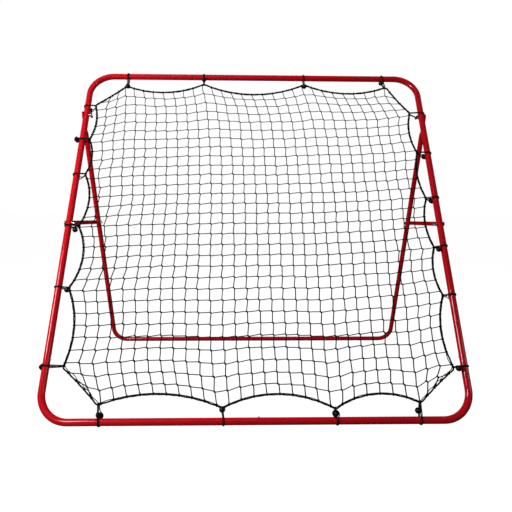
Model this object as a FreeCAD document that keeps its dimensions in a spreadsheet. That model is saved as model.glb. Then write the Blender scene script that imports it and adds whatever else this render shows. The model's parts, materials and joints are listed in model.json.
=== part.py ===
import FreeCAD, Part
import math
import os
import Sketcher

# Pitch back rebounder: a square tubular steel frame that leans back on a hinged rear
# frame, with a knotted net hung inside it from a border cord and twenty ball ties.
# Millimetres and degrees. +X is to the right, +Y to the back, +Z up. The origin is on
# the ground, in the middle of the object's footprint.
#
# Places on the front frame are given in the frame's own plane: across (x), up the frame
# from the bottom tube's axis (up), and out of the plane towards the player (out).

DIMENSIONS = [
    ("frame_width", 1475, "between the axes of the front frame's side tubes"),
    ("frame_height", 1475, "between the axes of the front frame's bottom and top tubes"),
    ("tube_dia", 25, "front frame tube"),
    ("tube_wall", 1.2, "wall of every tube"),
    ("corner_radius", 100, "bend of the front frame, on the tube's axis"),
    ("seam_side", 235, "side seams, up from the bottom tube's axis"),
    ("seam_middle", -19, "top and bottom seams, from the middle"),
    ("spigot_length", 50, "reduced tube end inside its neighbour"),
    ("spigot_gap", 0.1, "radial, reduced end to bore"),
    ("shoulder", 3, "length of the step behind a reduced end"),
    ("button_dia", 6, "spring button"),
    ("button_inset", 24, "button's axis from its seam"),
    ("button_proud", 3.2, "button above the tube; pressed 4.4 it clears the outer tube"),
    ("clip_width", 8, "spring clip strip"),
    ("clip_thick", 0.8, "spring clip strip"),
    ("clip_leg", 20, "button's axis to the clip's bend"),
    ("clip_rise", 7.4, "clip's upper leg above the tube's axis"),
    ("clip_drop", 4.0, "clip's lower leg below the tube's axis"),
    ("rear_dia", 22, "rear frame tube"),
    ("rear_corner", 65, "bend of the rear frame, on the tube's axis"),
    ("leg_length", 1175, "hinge to the rear bar's axis, along the leg"),
    ("hinge_below", 214, "hinge, down the front frame from the top tube's axis"),
    ("flat_thick", 3, "pressed end of a leg"),
    ("flat_width", 29, "pressed end of a leg"),
    ("flat_length", 42, "hinge to where the pressed end begins to swell"),
    ("swell_length", 34, "pressed end to full round"),
    ("stay_drop", 523, "hinge to a stay's front pivot, down the front frame"),
    ("stay_down", 498, "hinge to a stay's rear pivot, down the leg"),
    ("link_length", 199, "between the pivots of each stay link, straight when the stay is open"),
    ("link_width", 18, "flat bar"),
    ("link_thick", 3, "flat bar"),
    ("crank_start", 16, "front link, pivot to the start of its crank"),
    ("crank_run", 22, "length of the crank in the front link"),
    ("bolt_dia", 6, "pivot bolts and rivets"),
    ("bolt_hole_gap", 0.3, "radial, bolt in a tube that doesn't turn on it"),
    ("pivot_gap", 0.05, "radial, bolt in a piece that turns on it"),
    ("head_dia", 13, "domed bolt head"),
    ("head_height", 4, "domed bolt head"),
    ("rivet_head_dia", 15, "centre rivet of a stay"),
    ("rivet_head_height", 2.6, "centre rivet of a stay"),
    ("washer_dia", 14, "under a wing nut"),
    ("washer_thick", 1.2, "under a wing nut"),
    ("hub_dia", 10, "wing nut's hub"),
    ("hub_height", 7, "wing nut's hub"),
    ("wing_dia", 12, "wing nut's rounded wings"),
    ("wing_thick", 2.4, "wing nut's rounded wings"),
    ("wing_reach", 8, "middle of a wing from the bolt's axis"),
    ("nut_dia", 11.5, "hexagon nut across corners"),
    ("nut_height", 5, "hexagon nut"),
    ("bolt_end", 2.5, "bolt past its nut"),
    ("seat_gap", 0.3, "between pieces on either side of a joint, and round soft pieces"),
    ("border_dia", 5, "border cord"),
    ("border_bend", 15, "border cord's bend at each tie, on its axis"),
    ("elastic_dia", 4, "ball tie's elastic"),
    ("hook_gap", 1, "elastic round the border cord"),
    ("ball_dia", 21, "ball tie's ball"),
    ("ground_flat", 0.5, "depth of the ground's flat on a tie under the frame"),
    ("twine_width", 3, "net strand"),
    ("net_thick", 2, "net"),
    ("net_pitch_across", 92, "the net's gaps, each two real meshes wide"),
    ("net_pitch_up", 89, "the net's gaps, each two real meshes high"),
]

# What follows from the sizes above. The open stays set the angle at the hinge, and both
# frames' feet stand on the ground, so the front frame's lean follows from the lengths.
REACH_FORMULA = "(stay_drop ^ 2 + stay_down ^ 2 - 4 * link_length ^ 2) / (2 * stay_drop * stay_down)"
DERIVED = [
    ("axis_height", "=tube_dia / 2 + seat_gap + elastic_dia - ground_flat",
     "bottom tube's axis above the ground"),
    ("hinge_up", "=frame_height - hinge_below", "hinge, up the front frame"),
    ("stay_up", "=hinge_up - stay_drop", "a stay's front pivot, up the front frame"),
    ("open_angle", "=acos(" + REACH_FORMULA + ")", "front frame to legs at the hinge, open"),
    ("foot_along", "=hinge_up - leg_length * cos(open_angle)",
     "bottom tube's axis past the rear bar's, along the front frame"),
    ("foot_behind", "=leg_length * sin(open_angle)", "rear bar's axis behind the front frame"),
    ("lean", "=acos((rear_dia / 2 - axis_height) / sqrt(foot_along ^ 2 + foot_behind ^ 2))"
             " - atan(foot_behind / foot_along)",
     "front frame, back from upright"),
    ("leg_angle", "=open_angle - lean", "rear legs, forward from upright"),
]

# The twenty ties, clockwise round the frame from the top left: the side each is on, what its
# place is measured from and how far, the border cord's corner there inwards from the tube's
# axis, where the ball sits, how far inwards (or, for a ball behind the tube, how many degrees
# past the tube's outer side), and how far the cord bows in on its way to the next tie. A ball
# beside the tube is where the loop, pulled straight, lays it on the tube's back.
TIES = [
    ("top", "left", 161, 53, "front", 41, 41),
    ("top", "middle", -231.5, 39, "front", 24, 57),
    ("top", "middle", 223.5, 36, "front", 25, 44),
    ("top", "right", 139.5, 46, "front", 33, 5),
    ("right", "top", 191.5, 47, "behind", 75, 19),
    ("right", "top", 400, 43.5, "beside", 0, 18.5),
    ("right", "top", 622, 36.5, "beside", 0, 21),
    ("right", "top", 839, 36.5, "front", 24, 20),
    ("right", "top", 1034.5, 33, "behind", 75, 27),
    ("right", "bottom", 170.5, 36.5, "front", 25, 3),
    ("bottom", "right", 173.5, 55, "front", 33, 40),
    ("bottom", "middle", 268.5, 37, "front", 24, 47),
    ("bottom", "middle", -119, 42, "front", 30, 41),
    ("bottom", "left", 194, 53.5, "back", 25, 3),
    ("left", "bottom", 180, 58.5, "behind", 46, 29.5),
    ("left", "top", 1005.5, 36.5, "front", 24, 35),
    ("left", "top", 751, 38.5, "back", 23, 29),
    ("left", "top", 515.5, 32.5, "behind", 75, 20),
    ("left", "top", 344, 28, "outside", 0, 17),
    ("left", "top", 162, 31.5, "behind", 96, 3),
]

V = FreeCAD.Vector
doc = FreeCAD.newDocument("Rebounder")
sheet = doc.addObject("Spreadsheet::Sheet", "dims")
for row, (alias, value, note) in enumerate(DIMENSIONS, start=1):
    sheet.set("A%d" % row, alias)
    sheet.set("B%d" % row, str(value))
    sheet.setAlias("B%d" % row, alias)
    sheet.set("C%d" % row, note)
for row, (alias, formula, note) in enumerate(DERIVED, start=len(DIMENSIONS) + 1):
    sheet.set("A%d" % row, alias)
    sheet.set("B%d" % row, formula)
    sheet.setAlias("B%d" % row, alias)
    sheet.set("C%d" % row, note)
doc.recompute()


class Sizes:
    """The sheet's cells as plain numbers."""

    def __getattr__(self, alias):
        return float(getattr(sheet, alias))


d = Sizes()
parts = []


def add(kind, name, bind=None, place=None, **values):
    """A document object with properties bound to the sheet, as expressions."""
    piece = doc.addObject(kind, name)
    for key, value in values.items():
        setattr(piece, key, value)
    for key, expression in (bind or {}).items():
        piece.setExpression(key, expression)
    if place is not None:
        piece.Placement = place
    return piece


def keep(piece, label, place=None):
    """Names a finished sub-part, which is also the name of its file."""
    piece.Label = label
    if place is not None:
        piece.Placement = place
    parts.append(piece)
    return piece


def cylinder(name, radius, height, place):
    return add("Part::Cylinder", name, {"Radius": radius, "Height": height}, place)


def fuse(name, pieces):
    return add("Part::MultiFuse", name, Shapes=pieces)


def cut(name, base, tool):
    return add("Part::Cut", name, Base=base, Tool=tool)


def group(name, pieces):
    return add("Part::Compound", name, Links=pieces)


# Where things are, worked out from the sheet.
tube_r = d.tube_dia / 2
rear_r = d.rear_dia / 2
lean = math.radians(d.lean)
wrap_r = tube_r + d.seat_gap + d.elastic_dia / 2
wrap_outer = wrap_r + d.elastic_dia / 2
axis_height = d.axis_height
hinge_y = d.hinge_up * math.sin(lean)
hinge_z = axis_height + d.hinge_up * math.cos(lean)
leg_angle = math.radians(d.leg_angle)
rear_y = hinge_y + d.leg_length * math.sin(leg_angle)
origin_y = (rear_y + rear_r - wrap_outer) / 2
leg_x = d.frame_width / 2 + tube_r + d.seat_gap + d.flat_thick / 2

front = FreeCAD.Placement(V(0, -origin_y, axis_height), FreeCAD.Rotation(V(1, 0, 0), 90 - d.lean))
rear = FreeCAD.Placement(
    V(0, rear_y - origin_y, rear_r),
    FreeCAD.Rotation(V(1, 0, 0), 90 + math.degrees(leg_angle)),
)


stay_leg = d.leg_length - d.stay_down
stay_front = front.multVec(V(0, d.stay_up, 0))
stay_rear = rear.multVec(V(0, stay_leg, 0))
stay_middle = (stay_front + stay_rear) / 2
stay_slope = math.degrees(math.atan2(stay_rear.z - stay_front.z, stay_rear.y - stay_front.y))


def outward(side, distance, point):
    """Local Z points out of the side (-1 left, +1 right), from a distance off the middle."""
    turn = FreeCAD.Rotation(V(0, 1, 0), 90 * side)
    return FreeCAD.Placement(V(side * distance, point.y, point.z), turn)


def at(x, y, z, axis=(0, 0, 1)):
    """A placement whose local Z points along the axis."""
    return FreeCAD.Placement(V(x, y, z), FreeCAD.Rotation(V(0, 0, 1), V(*axis)))


def number(expression):
    return float(sheet.evalExpression(expression))


def bind_point(sketch, geometry, end, x, y):
    """Ties one end of a sketch line to a point given as two expressions."""
    for kind, expression in (("DistanceX", x), ("DistanceY", y)):
        index = sketch.addConstraint(
            Sketcher.Constraint(kind, -1, 1, geometry, end, number(expression))
        )
        sketch.setExpression("Constraints[%d]" % index, expression)


def bend_between(before, corner, after, radius):
    """The arc that rounds a square corner, with its two ends."""
    u = (before - corner).normalize()
    w = (after - corner).normalize()
    centre = corner + (u + w) * radius
    start, end = corner + u * radius, corner + w * radius
    middle = centre - (u + w).normalize() * radius
    return Part.Arc(start, middle, end), start, end


def square_path(name, corners, radius):
    """A sketch of straight runs at right angles, joined by tangent bends.

    Corners are pairs of expressions. The runs' ends and the bends' radius are bound."""
    sketch = add("Sketcher::SketchObject", name)
    points = [V(number(x), number(y), 0) for x, y in corners]
    ends = [points[0]]
    arcs = []
    for before, corner, after in zip(points, points[1:], points[2:]):
        arc, start, end = bend_between(before, corner, after, number(radius))
        arcs.append(arc)
        ends += [start, end]
    ends.append(points[-1])
    runs = []
    for start, end in zip(ends[::2], ends[1::2]):
        runs.append(sketch.addGeometry(Part.LineSegment(start, end), False))
        kind = "Horizontal" if abs(start.y - end.y) < abs(start.x - end.x) else "Vertical"
        sketch.addConstraint(Sketcher.Constraint(kind, runs[-1]))
    for index, arc in enumerate(arcs):
        bend = sketch.addGeometry(arc, False)
        first = sketch.getPoint(bend, 1).distanceToPoint(ends[2 * index + 1]) < 0.001
        near, far = (1, 2) if first else (2, 1)
        sketch.addConstraint(Sketcher.Constraint("Tangent", runs[index], 2, bend, near))
        sketch.addConstraint(Sketcher.Constraint("Tangent", bend, far, runs[index + 1], 1))
        size = sketch.addConstraint(Sketcher.Constraint("Radius", bend, number(radius)))
        sketch.setExpression("Constraints[%d]" % size, radius)
    bind_point(sketch, runs[0], 1, *corners[0])
    bind_point(sketch, runs[-1], 2, *corners[-1])
    if len(runs) == 3:
        index = sketch.addConstraint(
            Sketcher.Constraint("DistanceY", -1, 1, runs[1], 1, number(corners[1][1]))
        )
        sketch.setExpression("Constraints[%d]" % index, corners[1][1])
    return sketch


def sweep(name, path, radius, place):
    """A round bar along a sketch's path, starting at the given placement."""
    ring = add("Part::Circle", name + "_ring", {"Radius": radius}, place)
    edges = ["Edge%d" % (n + 1) for n in range(path.GeometryCount)]
    return add("Part::Sweep", name, Sections=[ring], Spine=(path, edges), Solid=True)


# Front frame: four bent tubes. Each has a reduced end (spigot) that fits its neighbour.
HALF_W = "dims.frame_width / 2"
TUBE_R = "dims.tube_dia / 2"
BORE_R = "dims.tube_dia / 2 - dims.tube_wall"
SPIGOT_R = "dims.tube_dia / 2 - dims.tube_wall - dims.spigot_gap"
SPIGOT_BORE_R = "dims.tube_dia / 2 - 2 * dims.tube_wall - dims.spigot_gap"
SHOULDER_R = "dims.tube_dia / 2 - dims.tube_wall / 2"
BUTTON_HOLE_R = "dims.button_dia / 2 + dims.pivot_gap"
BOLT_HOLE_R = "dims.bolt_dia / 2 + dims.bolt_hole_gap"


def spigot(name, point, axis):
    """The reduced end with its shoulder, and the bore through both."""
    back = V(*point) - V(*axis) * d.shoulder
    inside = at(back.x, back.y, back.z, axis)
    step = cylinder(name + "_shoulder", SHOULDER_R, "dims.shoulder", inside)
    plug = cylinder(name + "_plug", SPIGOT_R, "dims.shoulder + dims.spigot_length", inside)
    bore = cylinder(name + "_bore", SPIGOT_BORE_R, "dims.shoulder + dims.spigot_length", inside)
    return [step, plug], [bore]


def drilled(name, point, axis, radius, length):
    return cylinder(name, radius, length, at(*point, axis))


def frame_tube(name, corners, start_axis, spigots, holes):
    """One bent tube of the front frame, with its reduced ends and its holes."""
    path = square_path(name + "_path", corners, "dims.corner_radius")
    start = at(number(corners[0][0]), number(corners[0][1]), 0, start_axis)
    tube = cut(
        name + "_pipe",
        sweep(name + "_outer", path, TUBE_R, start),
        sweep(name + "_inner", path, BORE_R, start),
    )
    solids, tools = [tube], list(holes)
    for index, (point, axis) in enumerate(spigots):
        plugs, bores = spigot("%s_end%d" % (name, index), point, axis)
        solids += plugs
        tools += bores
    body = fuse(name + "_body", solids) if len(solids) > 1 else tube
    tool = fuse(name + "_tools", tools) if len(tools) > 1 else tools[0]
    return keep(cut(name, body, tool), name, front)


half_w = d.frame_width / 2
top = d.frame_height
mid = d.seam_middle
button_side = d.seam_side - d.button_inset
button_mid = mid + d.button_inset
deep = "dims.tube_dia"


def button_hole(name, point, axis):
    """A hole on the inner side only, from the tube's axis outwards."""
    return drilled(name, point, axis, BUTTON_HOLE_R, deep)


def bolt_holes(name, side):
    """Cross holes for the hinge bolt and the stay's front bolt."""
    start = side * (half_w - d.tube_dia)
    return [
        drilled(name + hole, (start, up, 0), (side, 0, 0), BOLT_HOLE_R, "2 * dims.tube_dia")
        for hole, up in (("_hinge_hole", d.hinge_up), ("_stay_hole", d.stay_up))
    ]


def front_frame():
    left, right = "-" + HALF_W, HALF_W
    seam, side_seam = "dims.seam_middle", "dims.seam_side"
    upper = "dims.frame_height"
    frame_tube(
        "upper_left_tube", [(seam, upper), (left, upper), (left, side_seam)], (-1, 0, 0),
        [((mid, top, 0), (1, 0, 0)), ((-half_w, d.seam_side, 0), (0, -1, 0))],
        bolt_holes("left", -1) + [
            button_hole("ul_top_button", (button_mid, top, 0), (0, -1, 0)),
            button_hole("ul_side_button", (-half_w, button_side, 0), (1, 0, 0)),
        ],
    )
    frame_tube(
        "upper_right_tube", [(seam, upper), (right, upper), (right, side_seam)], (1, 0, 0),
        [((half_w, d.seam_side, 0), (0, -1, 0))],
        bolt_holes("right", 1) + [
            button_hole("ur_top_button", (button_mid, top, 0), (0, -1, 0)),
            button_hole("ur_side_button", (half_w, button_side, 0), (-1, 0, 0)),
        ],
    )
    frame_tube(
        "lower_left_tube", [(seam, "0"), (left, "0"), (left, side_seam)], (-1, 0, 0),
        [((mid, 0, 0), (1, 0, 0))],
        [
            button_hole("ll_middle_button", (button_mid, 0, 0), (0, 1, 0)),
            button_hole("ll_side_button", (-half_w, button_side, 0), (1, 0, 0)),
        ],
    )
    frame_tube(
        "lower_right_tube", [(seam, "0"), (right, "0"), (right, side_seam)], (1, 0, 0),
        [],
        [
            button_hole("lr_middle_button", (button_mid, 0, 0), (0, 1, 0)),
            button_hole("lr_side_button", (half_w, button_side, 0), (-1, 0, 0)),
        ],
    )


def button_clip(name, where, along, out):
    """A spring strip folded in two inside a spigot, with its button through both tubes.

    Local X runs along the tube, local Z is the way the button points."""
    leg, rise, drop = d.clip_leg, d.clip_rise, d.clip_drop
    thick, wide = d.clip_thick, d.clip_width
    bend_r = (rise + drop) / 2 + thick / 2
    low = -drop - thick / 2
    size = {"Length": "dims.clip_leg + dims.clip_width / 2", "Width": "dims.clip_width",
            "Height": "dims.clip_thick"}
    upper_leg = add("Part::Box", name + "_upper", size,
                    FreeCAD.Placement(V(-wide / 2, -wide / 2, rise - thick / 2), FreeCAD.Rotation()))
    lower_leg = add("Part::Box", name + "_lower", size,
                    FreeCAD.Placement(V(-wide / 2, -wide / 2, low), FreeCAD.Rotation()))
    across = at(leg, wide / 2, (rise - drop) / 2, (0, -1, 0))
    outer = cylinder(name + "_bend", "(dims.clip_rise + dims.clip_drop + dims.clip_thick) / 2",
                     "dims.clip_width", across)
    inner = cylinder(name + "_inside", "(dims.clip_rise + dims.clip_drop - dims.clip_thick) / 2",
                     "dims.clip_width", across)
    ring = cut(name + "_ring", outer, inner)
    half = add("Part::Box", name + "_half", {"Width": "dims.clip_width"},
               FreeCAD.Placement(V(leg, -wide / 2, low), FreeCAD.Rotation()),
               Length=bend_r, Height=2 * bend_r)
    bend = add("Part::Common", name + "_fold", Base=ring, Tool=half)
    pin = cylinder(name + "_pin", "dims.button_dia / 2",
                   "dims.tube_dia / 2 + dims.button_proud - dims.clip_rise", at(0, 0, rise))
    dome = add("Part::Sphere", name + "_dome", {"Radius": "dims.button_dia * 0.75"},
               at(0, 0, tube_r + d.button_proud - d.button_dia * 0.75))
    reach = add("Part::Cylinder", name + "_reach",
                {"Radius": "dims.button_dia / 2", "Height": "dims.tube_dia / 2 + dims.button_proud"},
                at(0, 0, 0))
    # The dome trims the pin's end: the pin below the dome's middle stays whole.
    lower = cylinder(name + "_stem", "dims.button_dia / 2",
                     "dims.tube_dia / 2 + dims.button_proud - dims.button_dia * 0.75 - dims.clip_rise",
                     at(0, 0, rise))
    tip = add("Part::Common", name + "_tip", Base=dome, Tool=reach)
    trimmed = add("Part::Common", name + "_trim", Base=pin, Tool=fuse(name + "_end", [lower, tip]))
    y = V(*out).cross(V(*along))
    turn = FreeCAD.Rotation(V(*along), y, V(*out), "ZXY")
    local = FreeCAD.Placement(V(*where), turn)
    return keep(fuse(name, [upper_leg, lower_leg, bend, trimmed]), name, front.multiply(local))


def button_clips():
    button_clip("top_button", (button_mid, top, 0), (-1, 0, 0), (0, -1, 0))
    button_clip("bottom_button", (button_mid, 0, 0), (-1, 0, 0), (0, 1, 0))
    button_clip("left_button", (-half_w, button_side, 0), (0, 1, 0), (1, 0, 0))
    button_clip("right_button", (half_w, button_side, 0), (0, 1, 0), (-1, 0, 0))


# Rear frame: one bent tube whose two upper ends are pressed flat and drilled.
REAR_R = "dims.rear_dia / 2"
REAR_BORE_R = "dims.rear_dia / 2 - dims.tube_wall"
LEG_X = "(dims.frame_width / 2 + dims.tube_dia / 2 + dims.seat_gap + dims.flat_thick / 2)"
ROUND_END = "(dims.leg_length - dims.flat_length - dims.swell_length)"
PIVOT_HOLE_R = "dims.bolt_dia / 2 + dims.pivot_gap"


def round_section(x, y, radius):
    """A circle in four arcs: a wide one on each face and a narrow one at each edge."""
    split = math.radians(32)
    marks = [split, math.pi - split, math.pi + split, 2 * math.pi - split]

    def spot(angle):
        return V(x + radius * math.sin(angle), y, radius * math.cos(angle))

    arcs = []
    for first, last in zip(marks, marks[1:] + [marks[0] + 2 * math.pi]):
        arcs.append(Part.Arc(spot(first), spot((first + last) / 2), spot(last)).toShape())
    return Part.Wire(arcs)


def flat_section(x, y, thick, wide):
    """The pressed end's section: two straight faces and two round edges."""
    half, edge = thick / 2, wide / 2 - thick / 2
    corners = [V(x + half, y, edge), V(x + half, y, -edge), V(x - half, y, -edge), V(x - half, y, edge)]
    return Part.Wire([
        Part.LineSegment(corners[0], corners[1]).toShape(),
        Part.Arc(corners[1], V(x, y, -wide / 2), corners[2]).toShape(),
        Part.LineSegment(corners[2], corners[3]).toShape(),
        Part.Arc(corners[3], V(x, y, wide / 2), corners[0]).toShape(),
    ])


def pressed_end(name, side):
    """The swelling from the flat to the round, and the flat with its rounded tip."""
    round_end = d.leg_length - d.flat_length - d.swell_length
    flat_end = d.leg_length - d.flat_length
    x = side * leg_x
    swell = Part.makeLoft(
        [round_section(x, round_end, rear_r), flat_section(x, flat_end, d.flat_thick, d.flat_width)],
        True, True,
    )
    swelling = add("Part::Feature", name + "_swell", Shape=swell)
    plate = add("Part::Box", name + "_plate",
                {"Length": "dims.flat_thick", "Width": "dims.flat_length", "Height": "dims.flat_width"},
                FreeCAD.Placement(V(x - d.flat_thick / 2, flat_end, -d.flat_width / 2), FreeCAD.Rotation()))
    tip = cylinder(name + "_tip", "dims.flat_width / 2", "dims.flat_thick",
                   at(x - d.flat_thick / 2, d.leg_length, 0, (1, 0, 0)))
    hole = cylinder(name + "_eye", PIVOT_HOLE_R, "2 * dims.flat_thick",
                    at(x - d.flat_thick, d.leg_length, 0, (1, 0, 0)))
    stay_hole = cylinder(name + "_stay_hole", BOLT_HOLE_R, "2 * dims.rear_dia",
                         at(x - d.rear_dia, stay_leg, 0, (1, 0, 0)))
    return [swelling, plate, tip], [hole, stay_hole]


def rear_frame():
    corners = [("-" + LEG_X, ROUND_END), ("-" + LEG_X, "0"), (LEG_X, "0"), (LEG_X, ROUND_END)]
    path = square_path("rear_path", corners, "dims.rear_corner")
    start = at(-leg_x, number(ROUND_END), 0, (0, -1, 0))
    outer = sweep("rear_outer", path, REAR_R, start)
    inner = sweep("rear_inner", path, REAR_BORE_R, start)
    solids, tools = [cut("rear_pipe", outer, inner)], []
    for side, name in ((-1, "left_leg"), (1, "right_leg")):
        ends, holes = pressed_end(name, side)
        solids += ends
        tools += holes
    keep(cut("rear_frame", fuse("rear_body", solids), fuse("rear_tools", tools)), "rear_frame", rear)


# Bolts, nuts and washers. Local Z points outwards, and each is built from its seat.
def domed_bolt(name, shank, place):
    """A domed head on the seat with its shank inwards. The shank's length is an expression."""
    length = number(shank)
    barrel = cylinder(name + "_shank", "dims.bolt_dia / 2", shank, at(0, 0, -length))
    rim = cylinder(name + "_rim", "dims.head_dia / 2", "dims.head_height", at(0, 0, 0))
    ball = d.head_dia * 0.62
    cap = add("Part::Sphere", name + "_cap", {"Radius": "dims.head_dia * 0.62"},
              at(0, 0, d.head_height - ball))
    head = add("Part::Common", name + "_head", Base=rim, Tool=cap)
    piece = fuse(name, [barrel, head])
    piece.Placement = place
    return piece


def bored_disc(name, radius, height, hole, place):
    disc = cut(name, cylinder(name + "_disc", radius, height, at(0, 0, 0)),
               cylinder(name + "_bore", hole, height, at(0, 0, 0)))
    disc.Placement = place
    return disc


def wing_nut(name, turn, place):
    """A hub with two rounded wings, which stand off the seat. Local Z points off the seat."""
    hub = cylinder(name + "_hub", "dims.hub_dia / 2", "dims.hub_height", at(0, 0, 0))
    wings = []
    for side in (-1, 1):
        wing = cylinder("%s_wing%d" % (name, side + 1), "dims.wing_dia / 2", "dims.wing_thick",
                        at(side * d.wing_reach, d.wing_thick / 2, d.hub_height, (0, -1, 0)))
        wings.append(wing)
    bore = cylinder(name + "_thread", PIVOT_HOLE_R, "2 * dims.hub_height + dims.wing_dia", at(0, 0, -1))
    nut = cut(name, fuse(name + "_body", [hub] + wings), bore)
    nut.Placement = place.multiply(FreeCAD.Placement(V(), FreeCAD.Rotation(V(0, 0, 1), turn)))
    return nut


def hex_nut(name, place):
    block = add("Part::Prism", name + "_block",
                {"Circumradius": "dims.nut_dia / 2", "Height": "dims.nut_height"}, Polygon=6)
    bore = cylinder(name + "_thread", PIVOT_HOLE_R, "dims.nut_height", at(0, 0, 0))
    nut = cut(name, block, bore)
    nut.Placement = place
    return nut


PLATE_TO_NUT = (
    " + dims.seat_gap + dims.tube_dia + dims.seat_gap + dims.washer_thick"
    " + dims.hub_height + dims.bolt_end + 2 * dims.pivot_gap"
)


def clamp_set(name, point, plate, turns):
    """Bolt head outside the plate, wing nut and washer inside the front tube, both sides."""
    outer = half_w + tube_r + d.seat_gap + getattr(d, plate) + d.pivot_gap
    inner = half_w - tube_r - d.seat_gap
    bolts, washers, nuts = [], [], []
    shank = "dims.%s + dims.pivot_gap" % plate + PLATE_TO_NUT
    for side, turn in zip((-1, 1), turns):
        tag = "%s%d" % (name, side + 1)
        bolts.append(domed_bolt(tag + "_bolt", shank, outward(side, outer, point)))
        washers.append(bored_disc(tag + "_washer", "dims.washer_dia / 2", "dims.washer_thick",
                                  BOLT_HOLE_R, outward(side, inner - d.washer_thick, point)))
        seat = inner - d.washer_thick - d.pivot_gap
        inward = outward(side, seat, point).multiply(at(0, 0, 0, (0, 0, -1)))
        nuts.append(wing_nut(tag + "_nut", turn, inward))
    keep(group(name + "_bolts", bolts), name + "_bolts")
    keep(group(name + "_washers", washers), name + "_washers")
    keep(group(name + "_wing_nuts", nuts), name + "_wing_nuts")


def rear_stay_bolts():
    """The stays' rear bolts, through the leg, with plain hexagon nuts inside it."""
    outer = leg_x + rear_r + d.seat_gap + d.link_thick + d.pivot_gap
    shank = ("dims.link_thick + 2 * dims.seat_gap + dims.rear_dia + dims.nut_height"
             " + dims.bolt_end + 2 * dims.pivot_gap")
    bolts, nuts = [], []
    for side in (-1, 1):
        tag = "stay_rear%d" % (side + 1)
        bolts.append(domed_bolt(tag + "_bolt", shank, outward(side, outer, stay_rear)))
        seat = leg_x - rear_r - d.seat_gap
        nuts.append(hex_nut(tag + "_nut", outward(side, seat - d.nut_height, stay_rear)))
    keep(group("stay_rear_bolts", bolts), "stay_rear_bolts")
    keep(group("stay_rear_nuts", nuts), "stay_rear_nuts")


# Stays: on each side two flat links meet at a rivet halfway between front tube and leg.
rear_plane = leg_x + rear_r + d.seat_gap
front_plane = half_w + tube_r + d.seat_gap
middle_plane = rear_plane - d.seat_gap - d.link_thick
crank = middle_plane - front_plane


def bar_outline(name):
    """Sketch of a flat bar with round ends, from pivot to pivot along X."""
    sketch = add("Sketcher::SketchObject", name)
    half, length = d.link_width / 2, d.link_length
    top_edge = sketch.addGeometry(Part.LineSegment(V(0, half, 0), V(length, half, 0)), False)
    low_edge = sketch.addGeometry(Part.LineSegment(V(0, -half, 0), V(length, -half, 0)), False)
    circle = Part.Circle(V(0, 0, 0), V(0, 0, 1), half)
    start = sketch.addGeometry(Part.ArcOfCircle(circle, math.pi / 2, 1.5 * math.pi), False)
    circle = Part.Circle(V(length, 0, 0), V(0, 0, 1), half)
    end = sketch.addGeometry(Part.ArcOfCircle(circle, -math.pi / 2, math.pi / 2), False)
    sketch.addConstraint([
        Sketcher.Constraint("Coincident", start, 3, -1, 1),
        Sketcher.Constraint("PointOnObject", end, 3, -1),
        Sketcher.Constraint("Tangent", top_edge, 1, start, 1),
        Sketcher.Constraint("Tangent", low_edge, 1, start, 2),
        Sketcher.Constraint("Tangent", low_edge, 2, end, 1),
        Sketcher.Constraint("Tangent", top_edge, 2, end, 2),
    ])
    reach = sketch.addConstraint(Sketcher.Constraint("DistanceX", -1, 1, end, 3, length))
    sketch.setExpression("Constraints[%d]" % reach, "dims.link_length")
    size = sketch.addConstraint(Sketcher.Constraint("Radius", start, half))
    sketch.setExpression("Constraints[%d]" % size, "dims.link_width / 2")
    return sketch


def pivot_holes(name, deep_from, depth):
    return fuse(name + "_eyes", [
        cylinder("%s_eye%d" % (name, n), PIVOT_HOLE_R, depth, at(x, 0, deep_from))
        for n, x in enumerate((0, d.link_length))
    ])


def link_placement(side, distance, pivot, towards):
    """Local X along the stay from the pivot, local Z out of the side."""
    along = (towards - pivot).normalize()
    out = V(side, 0, 0)
    return FreeCAD.Placement(
        V(side * distance, pivot.y, pivot.z),
        FreeCAD.Rotation(along, out.cross(along), out, "ZXY"),
    )


def rear_link(name, side):
    """A straight link on the outer face of the leg."""
    bar = add("Part::Extrusion", name + "_bar", {"LengthFwd": "dims.link_thick"},
              Base=bar_outline(name + "_outline"), Dir=V(0, 0, 1), DirMode="Custom", Solid=True)
    holes = pivot_holes(name, -1, "dims.link_thick + 2")
    link = cut(name, bar, holes)
    keep(link, name, link_placement(side, rear_plane, stay_rear, stay_middle))


def cranked_edge(name):
    """Sketch of the front link seen from above: it steps out past the leg's plane."""
    first, second = d.crank_start, d.crank_start + d.crank_run
    past = d.link_length + d.link_width
    thick = d.link_thick
    points = [
        V(-d.link_width, 0, 0), V(first, 0, 0), V(second, crank, 0), V(past, crank, 0),
        V(past, crank + thick, 0), V(second, crank + thick, 0), V(first, thick, 0),
        V(-d.link_width, thick, 0),
    ]
    sketch = add("Sketcher::SketchObject", name)
    for start, end in zip(points, points[1:] + points[:1]):
        sketch.addGeometry(Part.LineSegment(start, end), False)
    for line in range(8):
        sketch.addConstraint(Sketcher.Constraint("Coincident", line, 2, (line + 1) % 8, 1))
    for line, kind in ((0, "Horizontal"), (2, "Horizontal"), (3, "Vertical"), (4, "Horizontal"),
                       (6, "Horizontal"), (7, "Vertical")):
        sketch.addConstraint(Sketcher.Constraint(kind, line))
    bind_point(sketch, 0, 1, "-dims.link_width", "0")
    bind_point(sketch, 3, 1, "dims.link_length + dims.link_width", CRANK)
    for line, x in ((1, "dims.crank_start"), (2, "dims.crank_start + dims.crank_run"),
                    (5, "dims.crank_start + dims.crank_run"), (6, "dims.crank_start")):
        index = sketch.addConstraint(
            Sketcher.Constraint("DistanceX", -1, 1, line, 1, number(x)))
        sketch.setExpression("Constraints[%d]" % index, x)
    for line, y in ((4, CRANK + " + dims.link_thick"), (6, "dims.link_thick")):
        index = sketch.addConstraint(
            Sketcher.Constraint("DistanceY", -1, 1, line, 2, number(y)))
        sketch.setExpression("Constraints[%d]" % index, y)
    return sketch


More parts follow.
